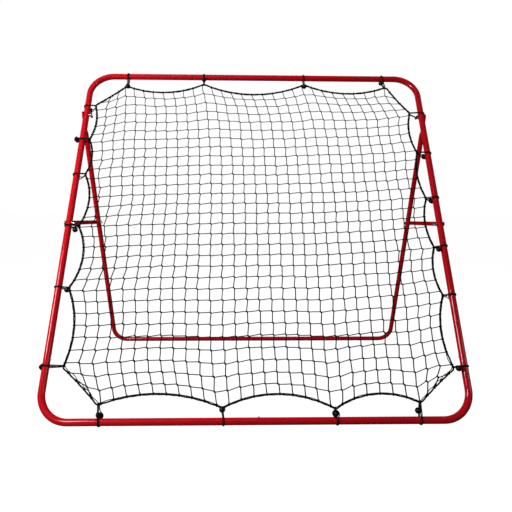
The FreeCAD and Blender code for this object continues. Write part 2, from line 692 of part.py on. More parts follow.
CRANK = "(dims.flat_thick / 2 + dims.rear_dia / 2 + dims.seat_gap - dims.seat_gap - dims.link_thick)"


def front_link(name, side):
    """A cranked link: flat on the front tube, then out to the rear link's plane."""
    plan = add("Part::Extrusion", name + "_plan", Base=bar_outline(name + "_outline"),
               Dir=V(0, 0, 1), DirMode="Custom", Solid=True, LengthFwd=3 * abs(crank))
    plan.LengthRev = 3 * abs(crank)
    edge = add("Part::Extrusion", name + "_edge", {"LengthFwd": "dims.link_width"},
               Base=cranked_edge(name + "_profile"), Dir=V(0, 0, 1), DirMode="Custom", Solid=True)
    edge.setExpression("LengthRev", "dims.link_width")
    edge.Placement = FreeCAD.Placement(V(), FreeCAD.Rotation(V(1, 0, 0), 90))
    bar = add("Part::Common", name + "_bar", Base=plan, Tool=edge)
    holes = pivot_holes(name, -crank, "4 * dims.rear_dia")
    link = cut(name, bar, holes)
    keep(link, name, link_placement(side, front_plane, stay_front, stay_middle))


def half_rivet(name, place):
    """Half of a stay's rivet: its head on one link, its shank only as deep as that link."""
    head = cylinder(name + "_head", "dims.rivet_head_dia / 2", "dims.rivet_head_height", at(0, 0, 0))
    ball = d.rivet_head_dia * 0.75
    cap = add("Part::Sphere", name + "_cap", {"Radius": "dims.rivet_head_dia * 0.75"},
              at(0, 0, d.rivet_head_height - ball))
    dome = add("Part::Common", name + "_dome", Base=head, Tool=cap)
    shank = cylinder(name + "_shank", "dims.bolt_dia / 2", "dims.link_thick", at(0, 0, -d.link_thick))
    keep(fuse(name, [dome, shank]), name, place)


def stays():
    for side, word in ((-1, "left"), (1, "right")):
        front_link("front_link_" + word, side)
        rear_link("rear_link_" + word, side)
        inner = outward(side, middle_plane, stay_middle).multiply(at(0, 0, 0, (0, 0, -1)))
        half_rivet("rivet_inner_" + word, inner)
        half_rivet("rivet_outer_" + word, outward(side, rear_plane + d.link_thick, stay_middle))


# Net, border cord and ties. The border cord bows inwards from tie to tie.
def on_frame(side, place, inwards, out=0.0):
    """A point in the frame's plane, from its side, its place along it and its depth."""
    return {
        "top": V(place, d.frame_height - inwards, out),
        "bottom": V(place, inwards, out),
        "left": V(inwards - half_w, place, out),
        "right": V(half_w - inwards, place, out),
    }[side]


def along_side(start, distance):
    """A tie's place along its side, across from the middle or up from the bottom tube."""
    return {
        "left": distance - half_w,
        "right": half_w - distance,
        "middle": distance,
        "top": d.frame_height - distance,
        "bottom": distance,
    }[start]


INWARDS = {"top": V(0, -1, 0), "bottom": V(0, 1, 0), "left": V(1, 0, 0), "right": V(-1, 0, 0)}
ALONG = {"top": V(1, 0, 0), "bottom": V(1, 0, 0), "left": V(0, 1, 0), "right": V(0, 1, 0)}


def bow_centre(start, end, sag):
    """Centre and radius of the arc from tie to tie that bows towards the net's middle."""
    chord = end - start
    inwards = V(chord.y, -chord.x, 0).normalize()
    radius = (chord.Length ** 2 / 4 + sag ** 2) / (2 * sag)
    return (start + end) / 2 + inwards * (sag - radius), radius


def touching_centre(first, second, near):
    """Centre of the small bend that touches two bows, on the side nearest a point."""
    (c1, r1), (c2, r2) = first, second
    gap = c2 - c1
    reach = gap.Length
    a = (r1 ** 2 - r2 ** 2 + reach ** 2) / (2 * reach)
    h = math.sqrt(r1 ** 2 - a ** 2)
    base = c1 + gap * (a / reach)
    side = V(gap.y, -gap.x, 0).normalize() * h
    return min((base + side, base - side), key=lambda p: p.distanceToPoint(near))


def border_plan():
    """The bows and the bends of the border cord's route, clockwise from the top left."""
    corners = [on_frame(tie[0], along_side(tie[1], tie[2]), tie[3]) for tie in TIES]
    bows = []
    for n, corner in enumerate(corners):
        bows.append(bow_centre(corner, corners[(n + 1) % len(TIES)], TIES[n][6]))
    bends = []
    for n, corner in enumerate(corners):
        (c1, r1), (c2, r2) = bows[n - 1], bows[n]
        bend = d.border_bend
        bends.append(touching_centre((c1, r1 + bend), (c2, r2 + bend), corner))
    return bows, bends


BOWS, BENDS = border_plan()


def border_wire(inset):
    """The border's route as one closed wire of arcs, moved inwards by an inset."""
    edges = []
    count = len(TIES)
    for n in range(count):
        c1, c2 = BOWS[n - 1][0], BOWS[n][0]
        r1, r2 = BOWS[n - 1][1] + inset, BOWS[n][1] + inset
        bend, following = BENDS[n], BENDS[(n + 1) % count]
        entry = c1 + (bend - c1).normalize() * r1
        leave = c2 + (bend - c2).normalize() * r2
        arrive = c2 + (following - c2).normalize() * r2
        tip = bend + ((entry + leave) / 2 - bend).normalize() * (d.border_bend - inset)
        belly = c2 + ((leave + arrive) / 2 - c2).normalize() * r2
        edges.append(Part.Arc(entry, tip, leave).toShape())
        edges.append(Part.Arc(leave, belly, arrive).toShape())
    return Part.Wire(edges)


def tube_along(wire, start, direction, radius):
    ring = Part.Wire(Part.Circle(start, direction, radius).toShape())
    return wire.makePipeShell([ring], True, False)


def border_cord():
    wire = border_wire(0)
    first = wire.OrderedEdges[0]
    start = first.valueAt(first.FirstParameter)
    direction = first.tangentAt(first.FirstParameter)
    cord = tube_along(wire, start, direction, d.border_dia / 2)
    section = math.pi * d.border_dia ** 2 / 4
    print("border cord: volume / (section x length) = %.5f" % (cord.Volume / section / wire.Length))
    keep(add("Part::Feature", "border_cord", Shape=cord), "border_cord", front)


# A tie is one elastic loop round the tube and the border cord, threaded through its ball.
hook_r = d.border_dia / 2 + d.hook_gap + d.elastic_dia / 2
ball_r = d.ball_dia / 2
seat_w = tube_r + ball_r + d.seat_gap
seat_bend = d.elastic_dia


def turned(point, degrees):
    return FreeCAD.Rotation(V(0, 0, 1), degrees).multVec(point)


def rounded_run(points, radius):
    """Straight runs through the points, with an arc at each one in between."""
    edges = []
    start = points[0]
    for before, corner, after in zip(points, points[1:], points[2:]):
        u, w = (before - corner).normalize(), (after - corner).normalize()
        half = u.getAngle(w) / 2
        centre = corner + (u + w).normalize() * (radius / math.sin(half))
        entry, leave = corner + u * (radius / math.tan(half)), corner + w * (radius / math.tan(half))
        edges.append(Part.LineSegment(start, entry))
        edges.append(Part.Arc(entry, centre - (u + w).normalize() * radius, leave))
        start = leave
    edges.append(Part.LineSegment(start, points[-1]))
    return edges


def on_wrap(degrees):
    """A point where the elastic lies on the tube."""
    return turned(V(wrap_r, 0, 0), degrees)


def hook_towards(hook, point):
    """Where a run to the point leaves the turn round the border cord."""
    gap = point - hook
    angle = math.atan2(gap.y, gap.x) + math.acos(hook_r / gap.Length)
    return hook + turned(V(hook_r, 0, 0), math.degrees(angle))


def seat_angle(reach, seat, place):
    """How many degrees past the tube's outer side a ball sits."""
    if seat == "beside":
        return 90 + math.degrees(math.asin((seat_w - hook_r) / reach))
    return place


def tie_route(reach, seat, place):
    """The loop in its own plane (inwards, out), as a closed list of lines and arcs.

    It runs along the front to the border cord, round it and back behind the tube."""
    slope = math.degrees(math.asin((wrap_r - hook_r) / reach))
    tube_touch, tube_low = on_wrap(90 - slope), on_wrap(slope - 90)
    hook = V(reach, 0, 0)
    hook_touch = hook + tube_touch * (hook_r / wrap_r)
    hook_low = hook + tube_low * (hook_r / wrap_r)
    far, near = V(-seat_w, wrap_r, 0), V(-seat_w, -wrap_r, 0)
    last = 90
    if seat in ("front", "back"):
        home = [Part.LineSegment(hook_low, tube_low), Part.Arc(tube_low, on_wrap(180), tube_touch)]
    elif seat == "outside":
        home = [Part.LineSegment(hook_low, tube_low),
                Part.Arc(tube_low, on_wrap(-90 + slope / 2), on_wrap(-90))]
        home += rounded_run([on_wrap(-90), near, far, on_wrap(90)], seat_bend)
    else:
        past = seat_angle(reach, seat, place)
        last += past
        corners = [turned(far, past), on_wrap(last)]
        if seat == "behind":
            corners.insert(0, turned(near, past))
        hook_low = hook_towards(hook, corners[0])
        home = rounded_run([hook_low] + corners, seat_bend)
    edges = [Part.LineSegment(tube_touch, hook_touch),
             Part.Arc(hook_touch, V(reach + hook_r, 0, 0), hook_low)] + home
    if seat not in ("front", "back"):
        edges.append(Part.Arc(on_wrap(last), on_wrap((last + 90 - slope) / 2), tube_touch))
    return edges


def ball_seat(reach, seat, place):
    """Where the ball sits on its loop, and the loop's direction there."""
    if seat not in ("front", "back"):
        past = seat_angle(reach, seat, place)
        return turned(V(-seat_w, 0, 0), past), turned(V(0, -1, 0), past)
    slope = math.asin((wrap_r - hook_r) / reach)
    touch = V(math.sin(slope), math.cos(slope), 0) * wrap_r
    along = V(math.cos(slope), -math.sin(slope), 0)
    point = touch + along * ((place - touch.x) / along.x)
    if seat == "back":
        return V(point.x, -point.y, 0), V(along.x, -along.y, 0)
    return point, along


def tie_frame(side, bend):
    """From the loop's plane to the frame's: local X inwards, local Y out of the plane."""
    inwards = INWARDS[side]
    axis = on_frame(side, (bend.x if side in ("top", "bottom") else bend.y), 0)
    out = V(0, 0, 1)
    return FreeCAD.Placement(axis, FreeCAD.Rotation(inwards, out, inwards.cross(out), "XYZ"))


def tie_reach(side, bend):
    """From the tube's axis to the border cord's axis at the tie."""
    depth = {"top": d.frame_height - bend.y, "bottom": bend.y,
             "left": bend.x + half_w, "right": half_w - bend.x}[side]
    return depth - d.border_bend


def on_ground(shape, place):
    """Cuts a shape flat where it would reach below the ground once it is placed."""
    size = d.frame_width * 2
    block = Part.makeBox(size, size, d.frame_width, V(-size / 2, -size / 2, -d.frame_width))
    block.Placement = place.inverse()
    return shape.cut(block)


def ties():
    counts = {}
    balls = []
    for (side, _, _, _, seat, seat_place, _), bend in zip(TIES, BENDS):
        counts[side] = counts.get(side, 0) + 1
        name = "tie_%s_%d" % (side, counts[side])
        reach = tie_reach(side, bend)
        local = tie_frame(side, bend)
        wire = Part.Wire([edge.toShape() for edge in tie_route(reach, seat, seat_place)])
        start = wire.OrderedEdges[0]
        loop = tube_along(wire, start.valueAt(start.FirstParameter),
                          start.tangentAt(start.FirstParameter), d.elastic_dia / 2)
        hung = front.multiply(local)
        if side == "bottom":
            loop = on_ground(loop, hung)
        keep(add("Part::Feature", name, Shape=loop), name, hung)
        point, along = ball_seat(reach, seat, seat_place)
        start = point - along * d.ball_dia
        bore = Part.makeCylinder(d.elastic_dia / 2 + d.seat_gap, 2 * d.ball_dia, start, along)
        ball = Part.makeSphere(ball_r, point, along).cut(bore)
        balls.append(ball.transformed(local.toMatrix()))
    keep(add("Part::Feature", "tie_balls", Shape=Part.makeCompound(balls)), "tie_balls", front)


def notches(radius):
    """Discs where a tie's elastic passes through the net beside the border cord."""
    discs = []
    for (side, *_), bend in zip(TIES, BENDS):
        point = bend - INWARDS[side] * d.border_bend
        discs.append(Part.makeCylinder(radius, 2, point - V(0, 0, 1)))
    return discs


def net():
    """One flat face with its gaps, drawn by strands both ways and a rim along the border."""
    clear = d.border_dia / 2 + d.seat_gap
    hook = hook_r + d.elastic_dia / 2 + d.seat_gap
    outline = Part.Face(border_wire(clear)).cut(notches(hook))
    inside = Part.Face(border_wire(clear + d.twine_width)).cut(notches(hook + d.twine_width))
    across = int(d.frame_width // d.net_pitch_across)
    up = int(d.frame_height // d.net_pitch_up)
    wide = d.net_pitch_across - d.twine_width
    high = d.net_pitch_up - d.twine_width
    left = (d.twine_width - across * d.net_pitch_across) / 2
    low = (d.frame_height - up * d.net_pitch_up + d.twine_width) / 2
    squares = []
    for column in range(across):
        for row in range(up):
            corner = V(left + column * d.net_pitch_across, low + row * d.net_pitch_up, 0)
            squares.append(Part.makePlane(wide, high, corner))
    pieces = inside.common(Part.makeCompound(squares)).Faces
    least = wide * high / 60
    gaps = [piece.OuterWire for piece in pieces if piece.Area > least]
    face = outline.Faces[0]
    holed = Part.Face([face.OuterWire] + gaps)
    holed.validate()
    print("net: %d gaps" % len(gaps))
    solid = holed.extrude(V(0, 0, d.net_thick))
    solid.translate(V(0, 0, -d.net_thick / 2))
    keep(add("Part::Feature", "net", Shape=solid), "net", front)


def check_and_write():
    """Stops if anything failed, then writes one file for each sub-part."""
    doc.recompute()
    bad = [o.Name for o in doc.Objects if {"Invalid", "Error"} & set(o.State)]
    for piece in parts:
        shape = piece.Shape
        if shape.isNull() or not shape.isValid() or not shape.Solids:
            bad.append(piece.Label)
    if bad:
        raise RuntimeError("failed: " + ", ".join(bad))
    os.makedirs("parts", exist_ok=True)
    for piece in parts:
        piece.Shape.exportStep("parts/%s.step" % piece.Label)
    print("%d sub-parts, %d solids" % (len(parts), sum(len(p.Shape.Solids) for p in parts)))


front_frame()
button_clips()
rear_frame()
clamp_set("hinge", front.multVec(V(0, d.hinge_up, 0)), "flat_thick", (35, 115))
clamp_set("stay_front", stay_front, "link_thick", (98, 90))
rear_stay_bolts()
stays()
border_cord()
ties()
net()
check_and_write()
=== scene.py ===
# %% [markdown]
# # A pitch back rebounder
# A rebounder is a square steel frame that leans back on a second, hinged frame. A net hangs
# inside the front frame on ball ties, and a ball thrown at it comes back. The steel comes ready
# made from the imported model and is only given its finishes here. The soft things, which are the
# net, its border cord and the ball ties, are built here in mesh code, because every mesh, knot
# and strand shows, and the plain solids only hold their places.

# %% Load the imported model
import json
import math
import random
from collections import namedtuple

import bmesh
import bpy
import numpy as np
from mathutils import Matrix, Vector


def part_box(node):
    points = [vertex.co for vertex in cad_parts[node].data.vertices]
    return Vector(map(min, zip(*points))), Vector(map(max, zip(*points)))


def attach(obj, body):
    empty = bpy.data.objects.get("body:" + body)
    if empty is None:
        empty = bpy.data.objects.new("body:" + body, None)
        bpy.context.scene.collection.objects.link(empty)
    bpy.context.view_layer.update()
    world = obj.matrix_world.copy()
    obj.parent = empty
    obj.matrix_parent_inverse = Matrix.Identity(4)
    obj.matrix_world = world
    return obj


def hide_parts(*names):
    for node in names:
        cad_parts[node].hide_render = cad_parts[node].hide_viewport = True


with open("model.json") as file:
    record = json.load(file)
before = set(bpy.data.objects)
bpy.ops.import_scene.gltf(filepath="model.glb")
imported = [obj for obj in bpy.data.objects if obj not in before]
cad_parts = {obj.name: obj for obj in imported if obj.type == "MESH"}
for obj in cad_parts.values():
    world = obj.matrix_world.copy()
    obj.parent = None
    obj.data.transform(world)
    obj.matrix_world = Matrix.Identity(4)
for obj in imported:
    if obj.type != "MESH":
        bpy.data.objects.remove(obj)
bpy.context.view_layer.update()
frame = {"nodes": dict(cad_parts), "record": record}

nodes = frame["nodes"]
print("pieces in the packed model:", len(nodes))

# %% [markdown]
# ## Sizes
# These are the sizes of the soft things and of the steel that they hang on, in metres. The
# frame, its lean, the border cord, the balls and the places of the ties are the same as in the
# part's own source, so that each piece here lies where its solid does. The rest differ from it.
# The solid of an elastic is one loop of 4 mm, and here it is two strands of 3.4 mm. The solid
# of the net has gaps two meshes wide, in strands of 3 mm, and here every mesh is made. The twine
# is taken to be 2.6 mm thick and the border cord 5 mm, and both are drawn fuller than that, the
# twine by its radius of 1.7 mm and the cord by FLUFF, because thinner ones look too pale from
# where the camera stands. The front frame's plane has its own directions: across, up the frame
# and out of it towards the player.

# %% Real sizes
MM = 0.001
LEAN = math.radians(27.998411)
FRAME_WIDTH = 1475 * MM
FRAME_HEIGHT = 1475 * MM
TUBE_RADIUS = 12.5 * MM
CORD_RADIUS = 2.5 * MM
FLUFF = 1.18
CORD_BEND = 15 * MM
ELASTIC_RADIUS = 1.7 * MM
BALL_RADIUS = 10.5 * MM
TWINE_RADIUS = 1.7 * MM
MESHES = 30
MESH_LENGTH = 44.3 * MM

# %% [markdown]
# The bottom tube's axis is found from its own node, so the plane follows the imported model. Its
# lowest and foremost points are one tube radius from the axis.

# %% The front frame's plane
low_corner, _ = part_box("lower_left_tube")
BAR_AXIS = Vector((0, low_corner.y + TUBE_RADIUS, low_corner.z + TUBE_RADIUS))
UP = Vector((0, math.sin(LEAN), math.cos(LEAN)))
OUT = Vector((0, -math.cos(LEAN), math.sin(LEAN)))
ACROSS = Vector((1, 0, 0))


def on_plane(across, up, out=0.0):
    """A point of the front frame's plane, in the row frame."""
    return BAR_AXIS + ACROSS * across + UP * up + OUT * out


print("bottom tube's axis at", tuple(round(v, 4) for v in BAR_AXIS))

# %% [markdown]
# ## The twenty ties
# Each tie is written as on the real frame, in millimetres: the side it is on, what its place
# is measured from and how far, how far in the border cord's corner lies, how far the cord bows
# in on its way to the next tie, and the number of net meshes counted clockwise along the
# border from the top left corner of the net. The elastic crosses the tube a little to one side
# of the cord's corner, by the shift. A ball hangs off the elastic by its neck, or sits in line
# between the two strands, or lies against the tube. Its place is given inwards from the tube's
# axis, out of the frame's plane, and along the side.

# %% Table of ties
Tie = namedtuple("Tie", "side start distance inwards bow mesh_count shift kind ball")
TIES = [Tie(*row) for row in (
    ("top", "left", 161, 53, 41, 3.25, -0.3, "hangs", (63.2, 10.0, 3.0)),
    ("top", "middle", -231.5, 39, 57, 11.2, -1.2, "hangs", (29.7, 18.0, 1.4)),
    ("top", "middle", 223.5, 36, 44, 21.3, -2.6, "hangs", (54.3, 8.0, -0.7)),
    ("top", "right", 139.5, 46, 5, 29.1, -10.4, "hangs", (31.0, 8.0, -15.3)),
    ("right", "top", 191.5, 47, 19, 33.75, -3.2, "against", (-6.0, -22.5, 0.0)),
    ("right", "top", 400, 43.5, 18.5, 38.25, -4.2, "against", (8.7, -21.4, -4.0)),
    ("right", "top", 622, 36.5, 21, 43.15, 2.1, "against", (8.8, -21.4, 2.0)),
    ("right", "top", 839, 36.5, 20, 48.0, 5.5, "hangs", (22.8, 5.0, -7.4)),
    ("right", "top", 1034.5, 33, 27, 52.4, 2.5, "against", (-6.0, -22.5, 3.0)),
    ("right", "bottom", 170.5, 36.5, 3, 58.3, 3.4, "hangs", (28.7, 17.0, -5.7)),
    ("bottom", "right", 173.5, 55, 40, 62.95, -5.6, "hangs", (30.5, 12.0, -12.8)),
    ("bottom", "middle", 268.5, 37, 47, 69.6, 3.1, "inline", (22.4, 8.6, -1.0)),
    ("bottom", "middle", -119, 42, 41, 78.55, 5.2, "hangs", (37.2, 18.0, 1.2)),
    ("bottom", "left", 194, 53.5, 3, 88.25, 8.8, "inline", (21.5, -14.0, 3.6)),
    ("left", "bottom", 180, 58.5, 29.5, 92.65, 1.0, "against", (-16.2, -16.8, -1.0)),
    ("left", "top", 1005.5, 36.5, 35, 99.25, 3.8, "hangs", (37.9, 13.0, -9.9)),
    ("left", "top", 751, 38.5, 29, 105.1, -0.4, "hangs", (24.5, -8.0, -10.5)),
    ("left", "top", 515.5, 32.5, 20, 110.5, -4.1, "against", (-6.0, -22.5, -1.5)),
    ("left", "top", 344, 28, 17, 114.4, -4.8, "against", (-24.0, 0.0, -0.3)),
    ("left", "top", 162, 31.5, 3, 118.6, -5.4, "against", (2.2, -23.2, -4.5)),
)]
BOWS = [tie.bow * MM for tie in TIES]
MESH_COUNTS = [tie.mesh_count for tie in TIES]


def along_side(start, distance):
    """A place along a side: across from the middle, or up from the bottom tube."""
    return {
        "left": distance - FRAME_WIDTH / 2,
        "right": FRAME_WIDTH / 2 - distance,
        "middle": distance,
        "top": FRAME_HEIGHT - distance,
        "bottom": distance,
    }[start]


def plane_point(side, place, inwards):
    """Across and up, from a side of the frame, a place along it and a distance inwards."""
    return {
        "top": Vector((place, FRAME_HEIGHT - inwards)),
        "bottom": Vector((place, inwards)),
        "left": Vector((inwards - FRAME_WIDTH / 2, place)),
        "right": Vector((FRAME_WIDTH / 2 - inwards, place)),
    }[side]


INWARDS = {
    "top": Vector((0, -1)),
    "bottom": Vector((0, 1)),
    "left": Vector((1, 0)),
    "right": Vector((-1, 0)),
}
corners = [plane_point(tie.side, along_side(tie.start, tie.distance * MM), tie.inwards * MM)
           for tie in TIES]
print("ties:", len(TIES), "first corner at", tuple(round(v, 3) for v in corners[0]))

# %% [markdown]
# ## The border cord's route
# Between two ties the taut net pulls the cord inwards into a shallow arc. At a tie the cord
# turns sharply round the elastic. So the route is one arc for each span and a small round bend
# at each tie, which touches both arcs. The same two steps give the solid's route.

# %% Arcs and bends of the border
def bow_centre(start, end, sag):
    """Centre and radius of the arc that bows in between two ties."""
    chord = end - start
    inwards = Vector((chord.y, -chord.x)).normalized()
    radius = (chord.length ** 2 / 4 + sag ** 2) / (2 * sag)
    return (start + end) / 2 + inwards * (sag - radius), radius


def touching_centre(first, second, near):
    """Centre of the small bend that touches two arcs, on the side nearest a point."""
    (c1, r1), (c2, r2) = first, second
    gap = c2 - c1
    reach = gap.length
    share = (r1 ** 2 - r2 ** 2 + reach ** 2) / (2 * reach)
    height = math.sqrt(r1 ** 2 - share ** 2)
    base = c1 + gap * (share / reach)
    side = Vector((gap.y, -gap.x)).normalized() * height
    return min((base + side, base - side), key=lambda p: (p - near).length)


def arc_points(centre, start, end, steps):
    """Points from start to end round a centre, the short way, without the last one."""
    first = math.atan2(start.y - centre.y, start.x - centre.x)
    turn = math.atan2(end.y - centre.y, end.x - centre.x) - first
    turn = (turn + math.pi) % (2 * math.pi) - math.pi
    radius = (start - centre).length
    angles = [first + turn * n / steps for n in range(steps)]
    return [centre + Vector((math.cos(a), math.sin(a))) * radius for a in angles]


def border_route(step):
    """Points of the closed route, which of them each tie holds, and the centres of its bends."""
    count = len(corners)
    bows = [bow_centre(corners[n], corners[(n + 1) % count], BOWS[n]) for n in range(count)]
    bends = []
    for n, corner in enumerate(corners):
        (c1, r1), (c2, r2) = bows[n - 1], bows[n]
        bends.append(touching_centre((c1, r1 + CORD_BEND), (c2, r2 + CORD_BEND), corner))
    points, held = [], []
    for n in range(count):
        (c1, r1), (c2, r2) = bows[n - 1], bows[n]
        bend, following = bends[n], bends[(n + 1) % count]
        entry = c1 + (bend - c1).normalized() * r1
        leave = c2 + (bend - c2).normalized() * r2
        arrive = c2 + (following - c2).normalized() * r2
        rounded = arc_points(bend, entry, leave, max(4, round((leave - entry).length / step)))
        held.append(len(points) + len(rounded) // 2)
        points += rounded
        points += arc_points(c2, leave, arrive, max(4, round((arrive - leave).length / step)))
    return points, held, bends


ROUTE_STEP = 4 * MM
route, held_at, bends = border_route(ROUTE_STEP)
print("border cord's points:", len(route))

# %% [markdown]
# ## A helper that makes cord
# All the soft things are round cord of some thickness, so one helper sweeps a ring of corners
# along a path. It carries the ring's direction from point to point, which keeps the surface
# from twisting, and a profile can make the ring's radius change along the way and round the
# ring. That gives the border cord its strands. SLANTED helps to find the first direction,
# because a path may follow an axis.

# %% Sweep a ring along a path
SLANTED = (0.3, 0.5, 0.81)


def swept_ring(points, radius, sides, closed=False, profile=None):
    """Corners and faces of a cord along a path. profile(distance, angle) scales the radius."""
    spots = np.array([tuple(p) for p in points], float)
    ahead = np.roll(spots, -1, 0) - spots
    behind = spots - np.roll(spots, 1, 0)
    if not closed:
        ahead[-1], behind[0] = behind[-1], ahead[0]
    tangents = (ahead / np.linalg.norm(ahead, axis=1)[:, None]
                + behind / np.linalg.norm(behind, axis=1)[:, None])
    tangents /= np.linalg.norm(tangents, axis=1)[:, None]
    normal = np.cross(tangents[0], SLANTED)
    normal /= np.linalg.norm(normal)
    normals = [normal]
    for tangent in tangents[1:]:
        normal = normals[-1] - tangent * np.dot(normals[-1], tangent)
        normals.append(normal / np.linalg.norm(normal))
    normals = np.array(normals)
    sideways = np.cross(tangents, normals)
    run = np.concatenate([[0], np.cumsum(np.linalg.norm(np.diff(spots, axis=0), axis=1))])
    twist = 0.0
    if closed:
        last = normals[-1] - tangents[0] * np.dot(normals[-1], tangents[0])
        twist = math.atan2(np.dot(last, sideways[0]), np.dot(last, normals[0]))
    verts = []
    for n, (spot, side, up) in enumerate(zip(spots, normals, sideways)):
        for k in range(sides):
            angle = 2 * math.pi * k / sides
            turned = angle - twist * run[n] / run[-1]
            size = radius * (profile(run[n], angle) if profile else 1.0)
            verts.append(tuple(spot + size * (math.cos(turned) * side + math.sin(turned) * up)))
    faces = []
    rings = len(spots)
    for n in range(rings if closed else rings - 1):
        a, b = n * sides, ((n + 1) % rings) * sides
        for k in range(sides):
            j = (k + 1) % sides
            faces.append((a + k, a + j, b + j, b + k))
    if not closed:
        faces.append(tuple(range(sides - 1, -1, -1)))
        faces.append(tuple((rings - 1) * sides + k for k in range(sides)))
    return verts, faces


# %% Turn lists of corners and faces into one smooth object
def smooth_object(name, material, shells, merge=0.0):
    """One object from several shells of corners and faces, corners nearer than merge joined."""
    verts, faces = [], []
    for shell_verts, shell_faces in shells:
        start = len(verts)
        verts += shell_verts
        faces += [tuple(start + i for i in face) for face in shell_faces]
    mesh = bpy.data.meshes.new(name)
    mesh.from_pydata(verts, [], faces)
    mesh.validate()
    fixer = bmesh.new()
    fixer.from_mesh(mesh)
    if merge:
        bmesh.ops.remove_doubles(fixer, verts=fixer.verts, dist=merge)
    bmesh.ops.recalc_face_normals(fixer, faces=fixer.faces)
    fixer.to_mesh(mesh)
    fixer.free()
    mesh.polygons.foreach_set("use_smooth", [True] * len(mesh.polygons))
    mesh.materials.append(material)
    obj = bpy.data.objects.new(name, mesh)
    bpy.context.scene.collection.objects.link(obj)
    print("%s: %d faces" % (name, len(mesh.polygons)))
    return obj


# %% [markdown]
# ## Finishes
# Each finish is a Principled shader with the detail that the real one shows: the fine orange
# peel of powder coat, the uneven dullness of zinc plate, and the weave of cord. Gloss and colour
# that are the same everywhere are plain numbers on the shader. What varies comes from noise and
# waves in the object's own coordinates, so the weave stays on the cord when the camera moves.

# %% Helpers for finishes
def with_values(node, **values):
    """Sets a node's sockets by name, with an underscore for each space, and returns it."""
    for name, value in values.items():
        node.inputs[name.replace("_", " ")].default_value = value
    return node


def new_finish(name, colour, roughness, **settings):
    """A material with its Principled shader set, its node tree and that shader."""
    material = bpy.data.materials.new(name)
    material.use_nodes = True
    tree = material.node_tree
    shader = tree.nodes["Principled BSDF"]
    with_values(shader, Base_Color=(*colour, 1), Roughness=roughness, **settings)
    return material, tree, shader


def mottled(tree, target, scale, low, high, detail=4.0):
    """Drives a socket with noise between two grey levels or two colours."""
    place = tree.nodes.new("ShaderNodeTexCoord")
    noise = with_values(tree.nodes.new("ShaderNodeTexNoise"), Scale=scale, Detail=detail)
    ramp = tree.nodes.new("ShaderNodeValToRGB")
    for stop, value, position in zip(ramp.color_ramp.elements, (low, high), (0.3, 0.7)):
        stop.color = value if isinstance(value, tuple) else (value, value, value, 1)
        stop.position = position
    tree.links.new(place.outputs["Object"], noise.inputs["Vector"])
    tree.links.new(noise.outputs["Fac"], ramp.inputs["Fac"])
    tree.links.new(ramp.outputs["Color"], target)
    return noise


def combined(tree, operation, textures):
    """A socket with the sum or the product of two textures in the object's own coordinates."""
    place = tree.nodes.new("ShaderNodeTexCoord")
    joined = tree.nodes.new("ShaderNodeMath")
    joined.operation = operation
    for texture, side in zip(textures, joined.inputs):
        tree.links.new(place.outputs["Object"], texture.inputs["Vector"])
        tree.links.new(texture.outputs["Fac"], side)
    return joined.outputs[0]


def bumped(tree, shader, height, strength, distance):
    """Adds a bump whose height comes from a socket."""
    bump = with_values(tree.nodes.new("ShaderNodeBump"), Strength=strength, Distance=distance)
    tree.links.new(height, bump.inputs["Height"])
    tree.links.new(bump.outputs["Normal"], shader.inputs["Normal"])


# %% [markdown]
# The frame's red is a gloss powder coat. The coat melts and flows in the oven, so it is never
# quite flat: a ripple a few millimetres wide with a finer one on top. It has a clear top layer
# that gives the sharp highlight, and the colour is a little deeper in places.

# %% Red powder coat
WIDE_RIPPLE, FINE_RIPPLE = 260.0, 900.0


def red_powder_coat():
    material, tree, shader = new_finish(
        "red_powder_coat", (0.58, 0.0015, 0.007), 0.4,
        Specular_IOR_Level=0.05, Coat_Weight=0.9, Coat_Roughness=0.07)
    mottled(tree, shader.inputs["Base Color"], 9.0,
            (0.56, 0.0012, 0.006, 1), (0.61, 0.002, 0.009, 1))
    ripples = [with_values(tree.nodes.new("ShaderNodeTexNoise"), Scale=scale)
               for scale in (WIDE_RIPPLE, FINE_RIPPLE)]
    bumped(tree, shader, combined(tree, "ADD", ripples), 0.05, 0.0003)
    return material


powder_coat = red_powder_coat()
print("made", powder_coat.name)

# %% [markdown]
# Bolts, washers, nuts and spring buttons are zinc plated: a grey metal with cloudy patches where
# the plate is thicker or has been handled.

# %% Zinc plate
def zinc_plate():
    material, tree, shader = new_finish("zinc_plate", (0.58, 0.57, 0.56), 0.32, Metallic=1.0)
    mottled(tree, shader.inputs["Base Color"], 120.0, (0.46, 0.46, 0.46, 1), (0.66, 0.65, 0.63, 1))
    cloudy = mottled(tree, shader.inputs["Roughness"], 180.0, 0.24, 0.46)
    bumped(tree, shader, cloudy.outputs["Fac"], 0.15, 0.0002)
    return material


zinc = zinc_plate()
print("made", zinc.name)

# %% [markdown]
# Net twine, border cord and elastic are all black fibre. Each has a mottled colour, and two
# crossing wave patterns that give small raised diamonds. What tells them apart is how fine and
# how deep the weave is and how dull the fibre is.

# %% Black fibres
FIBRE_BLACK = (0.004, 0.004, 0.004)


def black_fibre(name, weave, strength, roughness):
    """A woven black fibre, its weave given by the scale and strength of its pattern."""
    material, tree, shader = new_finish(name, FIBRE_BLACK, roughness, Specular_IOR_Level=0.12)
    lighter = tuple(c * 1.9 for c in FIBRE_BLACK)
    mottled(tree, shader.inputs["Base Color"], weave / 3, (*FIBRE_BLACK, 1), (*lighter, 1), 6.0)
    waves = []
    for direction in ("DIAGONAL", "X"):
        wave = with_values(tree.nodes.new("ShaderNodeTexWave"), Scale=weave, Distortion=1.5)
        wave.bands_direction = direction
        waves.append(wave)
    bumped(tree, shader, combined(tree, "MULTIPLY", waves), strength, 0.0004)
    return material


